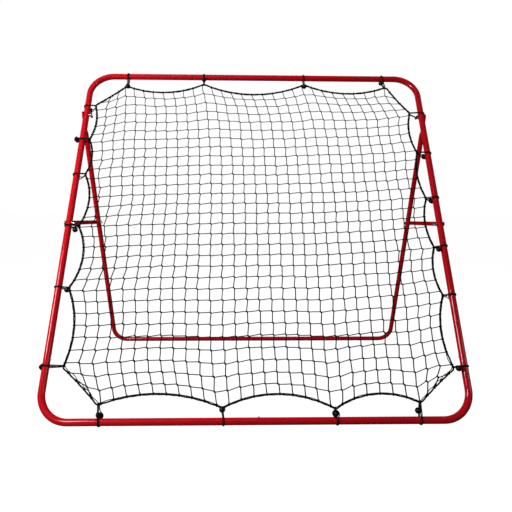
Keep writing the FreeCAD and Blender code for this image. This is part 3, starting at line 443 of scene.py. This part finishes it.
twine_fibre = black_fibre("net_twine", 420.0, 0.5, 0.95)
cord_fibre = black_fibre("border_braid", 260.0, 0.8, 0.9)
elastic_fibre = black_fibre("elastic_braid", 340.0, 0.6, 0.75)
print("made", twine_fibre.name, cord_fibre.name, elastic_fibre.name)

# %% [markdown]
# The balls are moulded plastic, shiny but slightly scuffed.

# %% Moulded plastic
def moulded_plastic():
    material, tree, shader = new_finish(
        "ball_plastic", (0.004, 0.004, 0.0045), 0.34, Specular_IOR_Level=0.3, Coat_Weight=0.08)
    scuffed = mottled(tree, shader.inputs["Roughness"], 240.0, 0.24, 0.42)
    bumped(tree, shader, scuffed.outputs["Fac"], 0.08, 0.0002)
    return material


plastic = moulded_plastic()
print("made", plastic.name)

# %% [markdown]
# ## Finishing the steel
# The tubes, links, bolts and nuts have the right shapes already, so they only change material.
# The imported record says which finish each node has.

# %% Give each steel node its finish
STEEL_FINISHES = {"red_paint": powder_coat, "zinc": zinc}
finished = 0
for entry in frame["record"]["subparts"]:
    finish = STEEL_FINISHES.get(entry["material_slot"])
    if finish:
        steel = nodes[entry["node"]]
        steel.data.materials.clear()
        steel.data.materials.append(finish)
        finished += 1
print("steel nodes finished:", finished)

# %% [markdown]
# ## The border cord
# The border cord is a thick laid cord. Each net strand that is hitched to it pulls it in a
# little, so between the ties it isn't a clean arc but a row of very shallow scallops. The
# ring's radius swells and shrinks in three strands that run round the cord, as the surface of
# a laid cord does, which catches the light better than a bump alone. The scallops need to know
# where the edge knots are, so those are placed first: a known number of meshes between ties.

# %% Where the edge knots sit on the border
def distances_along(points):
    """Distance along a closed route at each of its points, and its whole length."""
    ends = points[1:] + points[:1]
    steps = [(b - a).length for a, b in zip(points, ends)]
    return np.concatenate([[0], np.cumsum(steps)[:-1]]), float(sum(steps))


route_run, route_whole = distances_along(route)
closed_run = np.append(route_run, route_whole)
route_xs = np.array([p.x for p in route] + [route[0].x])
route_ys = np.array([p.y for p in route] + [route[0].y])
print("border cord: %.2f m" % route_whole)


def edge_marks():
    """Distance along the border of each edge knot, clockwise from the net's top left corner."""
    held = [route_run[i] for i in held_at]
    held = [held[-1] - route_whole] + held + [held[0] + route_whole]
    counts = [MESH_COUNTS[-1] - 4 * MESHES] + MESH_COUNTS + [MESH_COUNTS[0] + 4 * MESHES]
    return [float(np.interp(number, counts, held)) % route_whole for number in range(4 * MESHES)]


def route_point(distance):
    """The border's place at a distance along it."""
    distance %= route_whole
    return Vector([float(np.interp(distance, closed_run, line)) for line in (route_xs, route_ys)])


def border_place(distance):
    """The border's place and its direction inwards at a distance along it."""
    direction = (route_point(distance + 1 * MM) - route_point(distance - 1 * MM)).normalized()
    return route_point(distance), Vector((direction.y, -direction.x))


marks = edge_marks()
edge = [tuple(border_place(mark)[0]) for mark in marks]
print("edge knots:", len(edge), "first at", tuple(round(v, 3) for v in edge[0]))

# %% Make the border cord
SCALLOP = 1.5 * MM
LAY_LENGTH = 16 * MM
LAY_STRANDS = 3
LAY_DEPTH = 0.10
CORD_STEP = 2.2 * MM
CORD_SIDES = 12


def border_cord():
    """The laid cord on its route, pulled in at each edge knot."""
    fine_route, _, _ = border_route(CORD_STEP)
    run, whole = distances_along(fine_route)
    spots = np.sort(np.array(marks))
    spots = np.concatenate([[spots[-1] - whole], spots, [spots[0] + whole]])
    path = []
    for n, place in enumerate(fine_route):
        ahead = fine_route[(n + 1) % len(fine_route)] - fine_route[n - 1]
        inwards = Vector((ahead.y, -ahead.x)).normalized()
        near = float(np.min(np.abs(spots - run[n])))
        pulled = SCALLOP * (0.5 - min(1.0, near / (0.5 * MESH_LENGTH)))
        path.append(on_plane(*(place + inwards * pulled)))
    turns = round(route_whole / LAY_LENGTH)

    def profile(distance, angle):
        turned = 2 * math.pi * distance * turns / route_whole
        return 1.0 + LAY_DEPTH * math.cos(LAY_STRANDS * (angle - turned))

    laid = swept_ring(path, CORD_RADIUS * FLUFF, CORD_SIDES, True, profile)
    return smooth_object("border_cord_laid", cord_fibre, [laid])


border = border_cord()
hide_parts("border_cord")
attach(border, "front_frame")

# %% [markdown]
# ## The net
# The net is a square of meshes, all the same size when it is knotted. Its edge knots are
# gathered along the border cord. The rest find their own places: a strand pulls hard when it is
# longer than its cut length and only a little when it isn't, so the net settles like a real
# one. The knots are moved a little at a time, in many rounds.

# %% Let the net settle
ROUNDS = 2600
LITTLE_PULL = 0.06
SPEED_KEPT = 0.92
PULL_ADDED = 0.2


def settled_net():
    """Places of all knots, [row from the bottom][column from the left], across and up."""
    count = MESHES + 1
    grid = np.zeros((count, count, 2))
    for n in range(MESHES):
        grid[MESHES, n] = edge[n]
        grid[MESHES - n, MESHES] = edge[MESHES + n]
        grid[0, MESHES - n] = edge[2 * MESHES + n]
        grid[n, 0] = edge[3 * MESHES + n]
    share = np.linspace(0, 1, count)[:, None]
    for row in range(1, MESHES):
        level = row / MESHES
        side_to_side = grid[row, 0] * (1 - share) + grid[row, MESHES] * share
        bottom_to_top = grid[0] * (1 - level) + grid[MESHES] * level
        corner_mix = ((grid[0, 0] * (1 - share) + grid[0, MESHES] * share) * (1 - level)
                      + (grid[MESHES, 0] * (1 - share) + grid[MESHES, MESHES] * share) * level)
        grid[row, 1:MESHES] = (side_to_side + bottom_to_top - corner_mix)[1:MESHES]
    speed = np.zeros_like(grid)
    for _ in range(ROUNDS):
        pull = np.zeros_like(grid)
        for axis in (0, 1):
            strands = np.diff(grid, axis=axis)
            length = np.linalg.norm(strands, axis=2, keepdims=True)
            excess = np.maximum(length - MESH_LENGTH, 0)
            force = strands / length * (excess + LITTLE_PULL * length)
            head = [slice(None)] * 3
            tail = [slice(None)] * 3
            head[axis], tail[axis] = slice(0, -1), slice(1, None)
            pull[tuple(head)] += force
            pull[tuple(tail)] -= force
        speed = speed * SPEED_KEPT + pull * PULL_ADDED
        grid[1:MESHES, 1:MESHES] += speed[1:MESHES, 1:MESHES]
    return grid


knots = settled_net()
widths = np.linalg.norm(np.diff(knots, axis=1), axis=2)
print("mesh width %.1f to %.1f mm" % (widths.min() / MM, widths.max() / MM))

# %% [markdown]
# Real twine isn't straight between its knots, and no two knots sit quite alike. A little
# seeded randomness lifts each knot from the plane by a millimetre or so and moves it sideways
# about as much. No other slack is added, because the ties keep the net flat. SWAY and LIFT are
# in millimetres.

# %% Knots in space
SWAY, LIFT = 1.6, 1.5
random.seed(11)


def loosened(grid):
    """The knots in the row frame, each moved a little, the edge knots left on the cord."""
    spots = []
    for row in range(MESHES + 1):
        line = []
        for column in range(MESHES + 1):
            x, y = grid[row, column]
            inside = 0 < row < MESHES and 0 < column < MESHES
            sway = SWAY * MM if inside else 0.0
            lift = random.uniform(-LIFT, LIFT) * MM if inside else 0.0
            x += random.uniform(-sway, sway)
            y += random.uniform(-sway, sway)
            line.append(on_plane(x, y, lift))
        spots.append(line)
    return spots


spots = loosened(knots)

# %% [markdown]
# Each knot of a machine-made net is a small slanting lump. The strands from the left and from
# above go into its upper left end, and those to the right and below come out of its lower right
# end, so no strand runs straight through. A strand is a thin six-sided cord that bellies
# a little. Those that go up and down are drawn thicker and look heavier than those across.

# %% The two ends of each knot
KNOT_HALF = (3.2 * MM, -2.8 * MM)


def knot_half():
    """From a knot's middle to its lower right end, a little different for each knot."""
    size = random.uniform(0.75, 1.25)
    tilt = random.uniform(-0.25, 0.25)
    x, y = KNOT_HALF[0] * size, KNOT_HALF[1] * size
    across = x * math.cos(tilt) - y * math.sin(tilt)
    up = x * math.sin(tilt) + y * math.cos(tilt)
    return ACROSS * across + UP * up + OUT * random.uniform(-0.8, 0.8) * MM


inner = range(1, MESHES)
halves = {(row, column): knot_half() for row in inner for column in inner}
NO_HALF = Vector((0, 0, 0))
print("knots with two ends:", len(halves))


# %% Strands from knot to knot
TWINE_SIDES = 6
ENTRY = 0.62
ACROSS_SHARE = 0.88
LOWEST_ROW, THINNER_ABOVE = 1.27, 0.3


def strand(start, end, radius):
    """A strand that bellies slightly on its way."""
    along = end - start
    side = along.cross(OUT).normalized()
    belly = side * random.uniform(-0.9, 0.9) * MM + OUT * random.uniform(-0.7, 0.7) * MM
    between = [start + along * share + belly * 0.75 for share in (0.3, 0.7)]
    return swept_ring([start, *between, end], radius, TWINE_SIDES)


def twine_at(row):
    """The twine's radius: drawn thinner towards the top rows and fuller towards the bottom ones.
    """
    return TWINE_RADIUS * (LOWEST_ROW - THINNER_ABOVE * row / MESHES)


def all_strands():
    """Each strand goes into a knot a little short of the lump's own end."""
    shells = []
    for row in range(MESHES + 1):
        for column in range(MESHES + 1):
            here, half = spots[row][column], halves.get((row, column), NO_HALF) * ENTRY
            if column < MESHES and 0 < row < MESHES:
                right = spots[row][column + 1] - halves.get((row, column + 1), NO_HALF) * ENTRY
                shells.append(strand(here + half, right, twine_at(row) * ACROSS_SHARE))
            if row < MESHES and 0 < column < MESHES:
                above = spots[row + 1][column] + halves.get((row + 1, column), NO_HALF) * ENTRY
                shells.append(strand(here - half, above, twine_at(row)))
    return shells


# %% Knots with their turns
CORE_PLACES = (-1.25, -0.5, 0.5, 1.25)
WOUND_TURNS = 1.5
WOUND_REACH = 1.5
WOUND_STEPS = 10


def knot(spot, half, radius):
    """A core from end to end and a turn and a half of twine wound tightly round it."""
    reach = half.length
    axis = half / reach
    side = axis.cross(OUT).normalized()
    third = axis.cross(side)
    core = swept_ring([spot + axis * reach * t for t in CORE_PLACES], radius * 1.05, TWINE_SIDES)
    start = random.uniform(0, 2 * math.pi)
    wound = []
    for n in range(WOUND_STEPS + 1):
        angle = start + 2 * WOUND_TURNS * math.pi * n / WOUND_STEPS
        place = spot + axis * reach * (WOUND_REACH * n / WOUND_STEPS - WOUND_REACH / 2)
        wound.append(place + (side * math.cos(angle) + third * math.sin(angle)) * radius * 0.95)
    return [core, swept_ring(wound, radius * 0.95, TWINE_SIDES)]


def all_knots():
    """Every knot inside the net, in the twine of its row."""
    shells = []
    for (row, column), half in halves.items():
        shells += knot(spots[row][column], half, twine_at(row))
    return shells


net = smooth_object("net_knotted", twine_fibre, all_strands() + all_knots())
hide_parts("net")
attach(net, "front_frame")

# %% [markdown]
# At the edge, each strand ends in a hitch round the border cord: two turns of twine with a knot
# on the inner side. The net's own edge twine, the selvedge, runs beside the cord from hitch to
# hitch. It stands off it most near the two lower corners, where the meshes have been pulled
# slack. The hitches make the real cord look knobbly from a distance. Their width and the slack
# are in millimetres.

# %% Hitches round the border cord
HITCH_TURNS = 2
HITCH_STEPS = 24
HITCH_WIDTH = 3.4


def hitch(mark):
    """Two turns of twine round the cord, side by side, and the knot that closes them."""
    place, inwards = border_place(mark)
    inward = ACROSS * inwards.x + UP * inwards.y
    along = inward.cross(OUT)
    centre = on_plane(*(place + inwards * SCALLOP * 0.5))
    radius = CORD_RADIUS + TWINE_RADIUS * 0.7
    turns = []
    for n in range(HITCH_STEPS + 1):
        angle = 2 * HITCH_TURNS * math.pi * n / HITCH_STEPS
        slide = (n / HITCH_STEPS - 0.5) * HITCH_WIDTH * MM
        spoke = inward * math.cos(angle) + OUT * math.sin(angle)
        turns.append(centre + along * slide + spoke * radius)
    inner_side = centre + inward * (radius + 0.5 * MM)
    closing = knot(inner_side, (along * 1.6 + OUT * 0.5) * MM, TWINE_RADIUS * 0.9)
    return [swept_ring(turns, TWINE_RADIUS * 0.85, TWINE_SIDES)] + closing


# %% The selvedge from hitch to hitch
SELVEDGE_STEPS = 7
SLACK_PLACES = {
    57: 3, 58: 2, 59: 4, 60: 5, 61: 4.5, 62: 2,
    87: 2, 88: 4, 89: 5, 90: 4, 91: 5.5, 92: 3,
}


def selvedge(number):
    """The edge twine between two hitches, which stands off the cord by its slack."""
    start, end = marks[number], marks[(number + 1) % len(marks)]
    length = (end - start) % route_whole
    slack = SLACK_PLACES.get(number, random.uniform(0.0, 0.9)) * MM
    points = []
    for n in range(SELVEDGE_STEPS + 1):
        share = n / SELVEDGE_STEPS
        place, inwards = border_place((start + length * share) % route_whole)
        off = CORD_RADIUS + TWINE_RADIUS * 0.6 + slack * math.sin(math.pi * share) ** 0.8
        points.append(on_plane(*(place + inwards * off), 0.8 * MM * math.sin(5 * share + number)))
    return swept_ring(points, TWINE_RADIUS * 0.9, TWINE_SIDES)


def all_hitches():
    """A hitch at each edge knot and the selvedge from each to the next."""
    shells = []
    for number, mark in enumerate(marks):
        shells += hitch(mark)
        shells.append(selvedge(number))
    return shells


hitches = smooth_object("net_hitches", twine_fibre, all_hitches())
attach(hitches, "front_frame")

# %% [markdown]
# ## The ball ties
# A ball tie is a loop of elastic with both ends fixed in a ball. It is passed round the border
# cord and the tube, and its far end is hooked over the ball, so two strands lie side by side
# all the way. Each tie is worked out in its own directions: inwards from the tube's axis, out of
# the frame's plane, and along the side.

# %% A tie's own directions
class TiePlane:
    """Places of one tie: inwards from the tube's axis, out of the plane, and along the side."""

    def __init__(self, side, bend):
        inwards = INWARDS[side]
        level = side in ("top", "bottom")
        self.inwards = ACROSS * inwards.x + UP * inwards.y
        self.along = ACROSS if level else UP
        axis = plane_point(side, bend.x if level else bend.y, 0)
        self.origin = on_plane(axis.x, axis.y)
        self.reach = abs((bend - axis).dot(inwards)) - CORD_BEND

    def point(self, place):
        """A place of the tie, in the row frame."""
        return self.origin + self.direction(place)

    def direction(self, place):
        """A direction of the tie, in the row frame."""
        return self.inwards * place.x + OUT * place.y + self.along * place.z


tie_planes = [TiePlane(tie.side, bend) for tie, bend in zip(TIES, bends)]
reaches = [plane.reach / MM for plane in tie_planes]
print("tie reaches: %.0f to %.0f mm" % (min(reaches), max(reaches)))

# %% [markdown]
# A stretched loop takes the same way as a belt round two wheels. The big wheel is the tube and
# the small one the border cord, and the belt's straight runs touch both. Where it crosses the
# tube to one side of the cord's corner, the runs slant. The belt is followed clockwise: round
# the tube's outer side, over its front, along to the cord, round that, and back behind.

# %% The belt round the tube and the cord
WRAP = TUBE_RADIUS + ELASTIC_RADIUS + 0.1 * MM
HOOK = CORD_RADIUS * FLUFF + ELASTIC_RADIUS + 0.3 * MM
BELT_STEP = 2.5 * MM


def wheel(centre, radius, start, end, along):
    """Points clockwise round a wheel between two angles, which may pass a whole turn."""
    while end > start:
        end -= 2 * math.pi
    count = max(2, round(radius * (start - end) / BELT_STEP))
    angles = [start + (end - start) * n / count for n in range(count + 1)]
    return [Vector((centre + radius * math.cos(a), radius * math.sin(a), along)) for a in angles]


def straight(start, end):
    """Points between two places, without the places themselves."""
    count = max(1, round((end - start).length / BELT_STEP))
    return [start.lerp(end, n / count) for n in range(1, count)]


def chained(*parts):
    """Joins stretches of a path and fills the straight runs between them."""
    path = list(parts[0])
    for part in parts[1:]:
        path += straight(path[-1], part[0]) + list(part)
    return path


def touch_angle(place, centre, radius, leaving):
    """Where the straight run to a place leaves a wheel, or one from it comes on."""
    away = Vector((place.x - centre, place.y))
    spread = math.acos(min(1.0, radius / away.length))
    return math.atan2(away.y, away.x) + (spread if leaving else -spread)


def whole_belt(reach, shift):
    """The closed belt, from where it comes on to the cord."""
    top = math.acos((WRAP - HOOK) / reach)
    hook = wheel(reach, HOOK, top, -top, 0.0)
    tube = wheel(0, WRAP, -top, top, shift)
    return hook + straight(hook[-1], tube[0]) + tube + straight(tube[-1], hook[0])


# %% [markdown]
# The two strands lie beside each other on the belt. At the ball they part. From the ball's
# mouth both run off along the belt, and at its other end both come back, pass on either side of
# the ball or of its neck, and close there. That is what keeps the loop on the ball.

# %% Where strands lie beside each other
LEAVING_POINTS, COMING_POINTS = 5, 6
MOUTH_SHARE = 0.7
NECK_SPREAD = 3.9 * MM


def strand_pair(path, ball_side, belt_side, gap, wide):
    """Moves one strand of a pair off the path: by ball_side at its ends, else by belt_side."""
    shifted = []
    count = len(path)
    for n, place in enumerate(path):
        leaving = max(0.0, 1 - n / LEAVING_POINTS)
        coming = max(0.0, 1 - (count - 1 - n) / COMING_POINTS)
        side = ball_side * leaving * MOUTH_SHARE * gap + ball_side * coming * wide
        shifted.append(place + side + belt_side * gap * (1 - leaving) * (1 - coming))
    return shifted


def hanging_path(reach, shift, ball):
    """A ball hanging by its neck: path, ball, mouth, side and the point where the loop closes."""
    belt = whole_belt(reach, shift)
    count = len(belt)
    k = min(range(count), key=lambda n: (belt[n] - ball).length)
    neck = belt[k]
    mouth = (neck - ball).normalized()
    ball = neck - mouth * (BALL_RADIUS + 0.9 * ELASTIC_RADIUS)
    forward = (belt[(k + 1) % count] - belt[k - 1]).normalized()
    side = mouth.cross(forward).normalized()
    off = neck + mouth * 1.6 * MM + forward * 1.8 * MM
    path = [ball + mouth * BALL_RADIUS * 0.5, ball + mouth * (BALL_RADIUS + 0.6 * MM), off]
    path += [belt[(k + n) % count] for n in range(3, count - 2)]
    path += [neck - forward * 3.0 * MM,
             neck - mouth * 0.3 * MM + forward * 0.5 * MM,
             neck + forward * 3.4 * MM]
    closing = neck + forward * 5.0 * MM
    return path, ball, mouth, side, closing


PASSING = [(-1.35, 0.36), (-0.8, 0.86), (-0.25, 1.15), (0.4, 1.08), (0.92, 0.66), (1.16, 0.34)]


def passing_ball(ball, forward, side):
    """One strand's way past the ball, by shares of its radius, up to where it closes."""
    return [ball + forward * BALL_RADIUS * a + side * BALL_RADIUS * b for a, b in PASSING]


def inline_path(reach, shift, ball):
    """A ball in line with the belt: the strands run off one end and pass it from the other."""
    belt = whole_belt(reach, shift)
    count = len(belt)
    k = min(range(count), key=lambda n: (belt[n] - ball).length)
    forward = (belt[(k + 2) % count] - belt[k - 2]).normalized()
    away = round(1.45 * BALL_RADIUS / BELT_STEP)
    path = [ball + forward * BALL_RADIUS * 0.5, ball + forward * BALL_RADIUS * 1.1]
    path += [belt[(k + n) % count] for n in range(away, count - away)]
    return path, forward


def against_path(reach, shift, ball):
    """A ball against the tube: its mouth points along the tube's skin, clockwise."""
    angle = math.atan2(ball.y, ball.x)
    forward = Vector((math.sin(angle), -math.cos(angle), 0))
    mouth_end = ball + forward * BALL_RADIUS * 1.15
    before = ball - forward * BALL_RADIUS * 1.5
    top = math.acos((WRAP - HOOK) / reach)
    on_tube = touch_angle(mouth_end, 0, WRAP, False)
    over = wheel(0, WRAP, on_tube, top, shift)
    beyond = touch_angle(before, 0, WRAP, True)
    direct = touch_angle(before, reach, HOOK, True)
    far = Vector((reach + HOOK * math.cos(direct), HOOK * math.sin(direct), 0))
    gap = before - far
    nearest = far + gap * max(0.0, min(1.0, -far.dot(gap) / gap.length_squared))
    if Vector((nearest.x, nearest.y)).length > WRAP:
        tail = [wheel(reach, HOOK, top, direct, 0.0), [before]]
    else:
        tail = [wheel(reach, HOOK, top, -top, 0.0), wheel(0, WRAP, -top, beyond, shift), [before]]
    return chained([ball + forward * BALL_RADIUS * 0.5, mouth_end], over, *tail), forward


# %% Make one tie's elastic
ELASTIC_SIDES = 8


def loop_points(reach, shift, kind, ball):
    """The whole loop in the tie's directions, the ball's place and its mouth's direction."""
    gap = random.uniform(1.72, 2.1) * MM
    belt_side = Vector((0, 0, 1))
    if kind == "hangs":
        path, ball, mouth, side, closing = hanging_path(reach, shift, ball)
        if side.dot(belt_side) < 0:
            side = -side
        one = strand_pair(path, side, belt_side, gap, NECK_SPREAD)
        other = strand_pair(path, -side, -belt_side, gap, NECK_SPREAD)
        return one + [closing] + other[::-1], ball, mouth
    find_path = inline_path if kind == "inline" else against_path
    path, mouth = find_path(reach, shift, ball)
    one, other = (strand_pair(path, side, side, gap, gap) + passing_ball(ball, mouth, side)
                  for side in (belt_side, -belt_side))
    proud = Vector((ball.x, ball.y, 0)).normalized() * ELASTIC_RADIUS * 2.2
    closing = ball + mouth * BALL_RADIUS * 1.22 + proud
    return one + [closing] + other[::-1], ball, mouth


def rounded(points):
    """Cuts each corner of an open path, which leaves a smoother curve."""
    cut = [points[0]]
    for a, b in zip(points, points[1:]):
        cut += [a.lerp(b, 0.25), a.lerp(b, 0.75)]
    return cut + [points[-1]]


def tie_elastic(plane, shift, kind, ball, name):
    """The elastic as one cord, and where the ball and its mouth are in the row frame."""
    points, ball, mouth = loop_points(plane.reach, shift, kind, ball)
    path = [plane.point(p) for p in rounded(points)]
    elastic = smooth_object(name, elastic_fibre, [swept_ring(path, ELASTIC_RADIUS, ELASTIC_SIDES)])
    return elastic, plane.point(ball), plane.direction(mouth)


# %% [markdown]
# The ball is turned from a profile: nearly a sphere, with a raised seam round its middle where
# the mould halves met, a small collar at the mouth and a hole that the elastic goes into.

# %% Ball with its seam, collar and hole
HOLE_RADIUS = 3.6 * MM
COLLAR_RADIUS = 5.4 * MM
SEAM_HEIGHT, SEAM_WIDTH = 0.022, 0.07
BALL_STEPS, BALL_SIDES = 22, 28
BESIDE_MOUTH = Vector((0.31, 0.22, 0.92))


def ball_profile():
    """Radius and height pairs from the bottom of the hole, over the mouth, to the far pole."""
    r, hole, collar = BALL_RADIUS, HOLE_RADIUS, COLLAR_RADIUS
    points = [(0.0, r * 0.45), (hole * 0.9, r * 0.45), (hole, r * 0.88), (hole * 1.08, r * 0.99),
              (collar * 0.86, r * 1.0), (collar, r * 0.955), (collar * 1.04, r * 0.87)]
    start = math.asin(collar * 1.08 / r)
    for n in range(BALL_STEPS + 1):
        angle = start + (math.pi - start) * n / BALL_STEPS
        seam = 1.0 + SEAM_HEIGHT * math.exp(-((angle - math.pi / 2) / SEAM_WIDTH) ** 2)
        points.append((max(0.0, r * seam * math.sin(angle)), r * seam * math.cos(angle)))
    return points


def turned_ball(centre, mouth, name):
    """Spins the profile about the ball's mouth direction and closes it at both poles."""
    across = mouth.cross(BESIDE_MOUTH).normalized()
    third = mouth.cross(across)
    verts, faces = [], []
    outline = ball_profile()
    for radius, height in outline:
        for k in range(BALL_SIDES):
            angle = 2 * math.pi * k / BALL_SIDES
            spoke = across * math.cos(angle) + third * math.sin(angle)
            verts.append(tuple(centre + mouth * height + spoke * radius))
    for n in range(len(outline) - 1):
        a, b = n * BALL_SIDES, (n + 1) * BALL_SIDES
        for k in range(BALL_SIDES):
            j = (k + 1) % BALL_SIDES
            faces.append((a + k, a + j, b + j, b + k))
    return smooth_object(name, plastic, [(verts, faces)], merge=0.02 * MM)


# %% Make the twenty ties
def make_ties():
    """Each tie's elastic and ball, numbered along their side, and how many each side has."""
    counts = {}
    for tie, plane in zip(TIES, tie_planes):
        counts[tie.side] = counts.get(tie.side, 0) + 1
        label = "%s_%d" % (tie.side, counts[tie.side])
        elastic, centre, mouth = tie_elastic(
            plane, tie.shift * MM, tie.kind, Vector(tie.ball) * MM, "elastic_" + label)
        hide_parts("tie_" + label)
        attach(elastic, "front_frame")
        shown = turned_ball(centre, mouth, "ball_" + label)
        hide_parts("tie_balls")
        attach(shown, "front_frame")
    return counts


print("ties made:", make_ties())

# %% [markdown]
# ## Floor, light and camera
# The photograph shows the rebounder on plain white, with dark undersides, as if it had been lit
# in a dark room and its background were bright only to the camera. The floor and the sky do
# that here: the camera sees them white, while the light that they throw back on the steel is
# weak. The floor lies 60 mm under the feet. The front frame is the body that keeps still, and
# when the rear frame folds up to it, the rear bar swings to 41 mm below the feet, where a floor
# at their level would hide it.

# %% What only the camera sees
def camera_sees(tree, plain, seen, output):
    """The camera meets one shader of a floor or sky, and all other light meets the plain one."""
    ray = tree.nodes.new("ShaderNodeLightPath")
    choice = tree.nodes.new("ShaderNodeMixShader")
    tree.links.new(ray.outputs["Is Camera Ray"], choice.inputs[0])
    tree.links.new(plain.outputs[0], choice.inputs[1])
    tree.links.new(seen.outputs[0], choice.inputs[2])
    tree.links.new(choice.outputs[0], tree.nodes[output].inputs["Surface"])


# %% Floor
FLOOR_DROP = 0.06
FLOOR_REACH = 40.0
FLOOR_GLOW = 0.985


def pale_floor():
    """A wide floor, nearly white to the camera."""
    mesh = bpy.data.meshes.new("floor")
    far, low = FLOOR_REACH, -FLOOR_DROP
    square = [(-far, -far, low), (far, -far, low), (far, far, low), (-far, far, low)]
    mesh.from_pydata(square, [], [(0, 1, 2, 3)])
    floor = bpy.data.objects.new("floor", mesh)
    bpy.context.scene.collection.objects.link(floor)
    material, tree, shader = new_finish("pale_floor", (0.1, 0.1, 0.1), 0.9, Specular_IOR_Level=0.0)
    mottled(tree, shader.inputs["Base Color"], 0.6, (0.09, 0.09, 0.09, 1), (0.11, 0.11, 0.11, 1))
    glow = with_values(tree.nodes.new("ShaderNodeEmission"), Strength=FLOOR_GLOW)
    seen = tree.nodes.new("ShaderNodeAddShader")
    tree.links.new(shader.outputs[0], seen.inputs[0])
    tree.links.new(glow.outputs[0], seen.inputs[1])
    camera_sees(tree, shader, seen, "Material Output")
    floor.data.materials.append(material)


pale_floor()

# %% [markdown]
# Two soft lights stand at the sides, and the gloss mirrors both as thin pale lines along the
# tubes. The left one is near and strong, because the left tubes are the brighter ones in the
# photograph. The other five fill in from the front, from above and from behind. The gloss
# doesn't mirror those, so the tubes keep the dark edges that they have in the photograph.

# %% Lights
def soft_light(name, place, aim, size, power, mirrored=True):
    """A rectangular light, which the gloss mirrors or not."""
    light = bpy.data.lights.new(name, "AREA")
    light.shape = "RECTANGLE"
    light.size, light.size_y = size
    light.energy = power
    lamp = bpy.data.objects.new(name, light)
    lamp.location = place
    lamp.visible_glossy = mirrored
    lamp.rotation_mode = "QUATERNION"
    lamp.rotation_quaternion = (Vector(aim) - Vector(place)).to_track_quat("-Z", "Y")
    bpy.context.scene.collection.objects.link(lamp)


soft_light("left", (-1.5, -1.4, 1.4), (-0.6, -0.25, 0.75), (0.7, 0.8), 32)
soft_light("right", (3.2, -2.0, 1.5), (0, -0.2, 0.6), (0.9, 1.0), 7)
soft_light("front", (-1.2, -3.4, 2.0), (-0.2, 0, 0.7), (2.0, 1.2), 7, False)
soft_light("above", (-0.7, -0.9, 2.6), (-0.3, 0.1, 1.1), (1.6, 0.6), 14, False)
soft_light("behind", (0.6, 3.4, 2.2), (0, 0.2, 0.6), (2.4, 1.4), 45, False)
soft_light("behind_right", (3.0, 1.6, 1.6), (0, 0.2, 0.6), (1.4, 1.4), 14, False)
soft_light("behind_left", (-3.0, 1.6, 1.6), (0, 0.2, 0.6), (1.4, 1.4), 14, False)

# %% Sky
def studio_sky(dim, bright):
    """A white sky, dim as a light and bright to the camera."""
    world = bpy.data.worlds.new("studio")
    world.use_nodes = True
    tree = world.node_tree
    white = (1, 1, 1, 1)
    soft = with_values(tree.nodes["Background"], Color=white, Strength=dim)
    seen = with_values(tree.nodes.new("ShaderNodeBackground"), Color=white, Strength=bright)
    camera_sees(tree, soft, seen, "World Output")
    bpy.context.scene.world = world


studio_sky(dim=0.06, bright=1.0)
bpy.context.scene.view_settings.view_transform = "Standard"
print("sky:", bpy.context.scene.world.name)

# %% [markdown]
# The camera stands about 1.4 m in front of the bottom tube at 0.74 m above the ground, a little
# left of the middle, and looks slightly down. The lens was worked out from the way that the
# square frame narrows towards its top in the photograph.

# %% Camera
PHOTO_WIDTH = 512
FOCAL_PIXELS = 446.7
SENSOR_WIDTH = 36.0
CAMERA_PLACE = Vector((-0.0373, -1.9062, 0.7434))
PITCH_DOWN, YAW_RIGHT, ROLL = (math.radians(a) for a in (6.585, 1.22, -0.217))


def photo_camera():
    """The photograph's camera, turned by its own three angles."""
    data = bpy.data.cameras.new("photo_camera")
    data.sensor_width = SENSOR_WIDTH
    data.lens = FOCAL_PIXELS / PHOTO_WIDTH * SENSOR_WIDTH
    camera = bpy.data.objects.new("photo_camera", data)
    sin, cos = math.sin, math.cos
    forward = Vector((sin(YAW_RIGHT) * cos(PITCH_DOWN),
                      cos(YAW_RIGHT) * cos(PITCH_DOWN),
                      -sin(PITCH_DOWN)))
    level = Vector((cos(YAW_RIGHT), -sin(YAW_RIGHT), 0))
    upright = level.cross(forward)
    right = level * cos(ROLL) - upright * sin(ROLL)
    top = level * sin(ROLL) + upright * cos(ROLL)
    turn = Matrix((right, top, -forward)).transposed().to_4x4()
    camera.matrix_world = Matrix.Translation(CAMERA_PLACE) @ turn
    bpy.context.scene.collection.objects.link(camera)
    bpy.context.scene.camera = camera
    return camera


camera = photo_camera()
print("lens %.2f mm" % camera.data.lens)
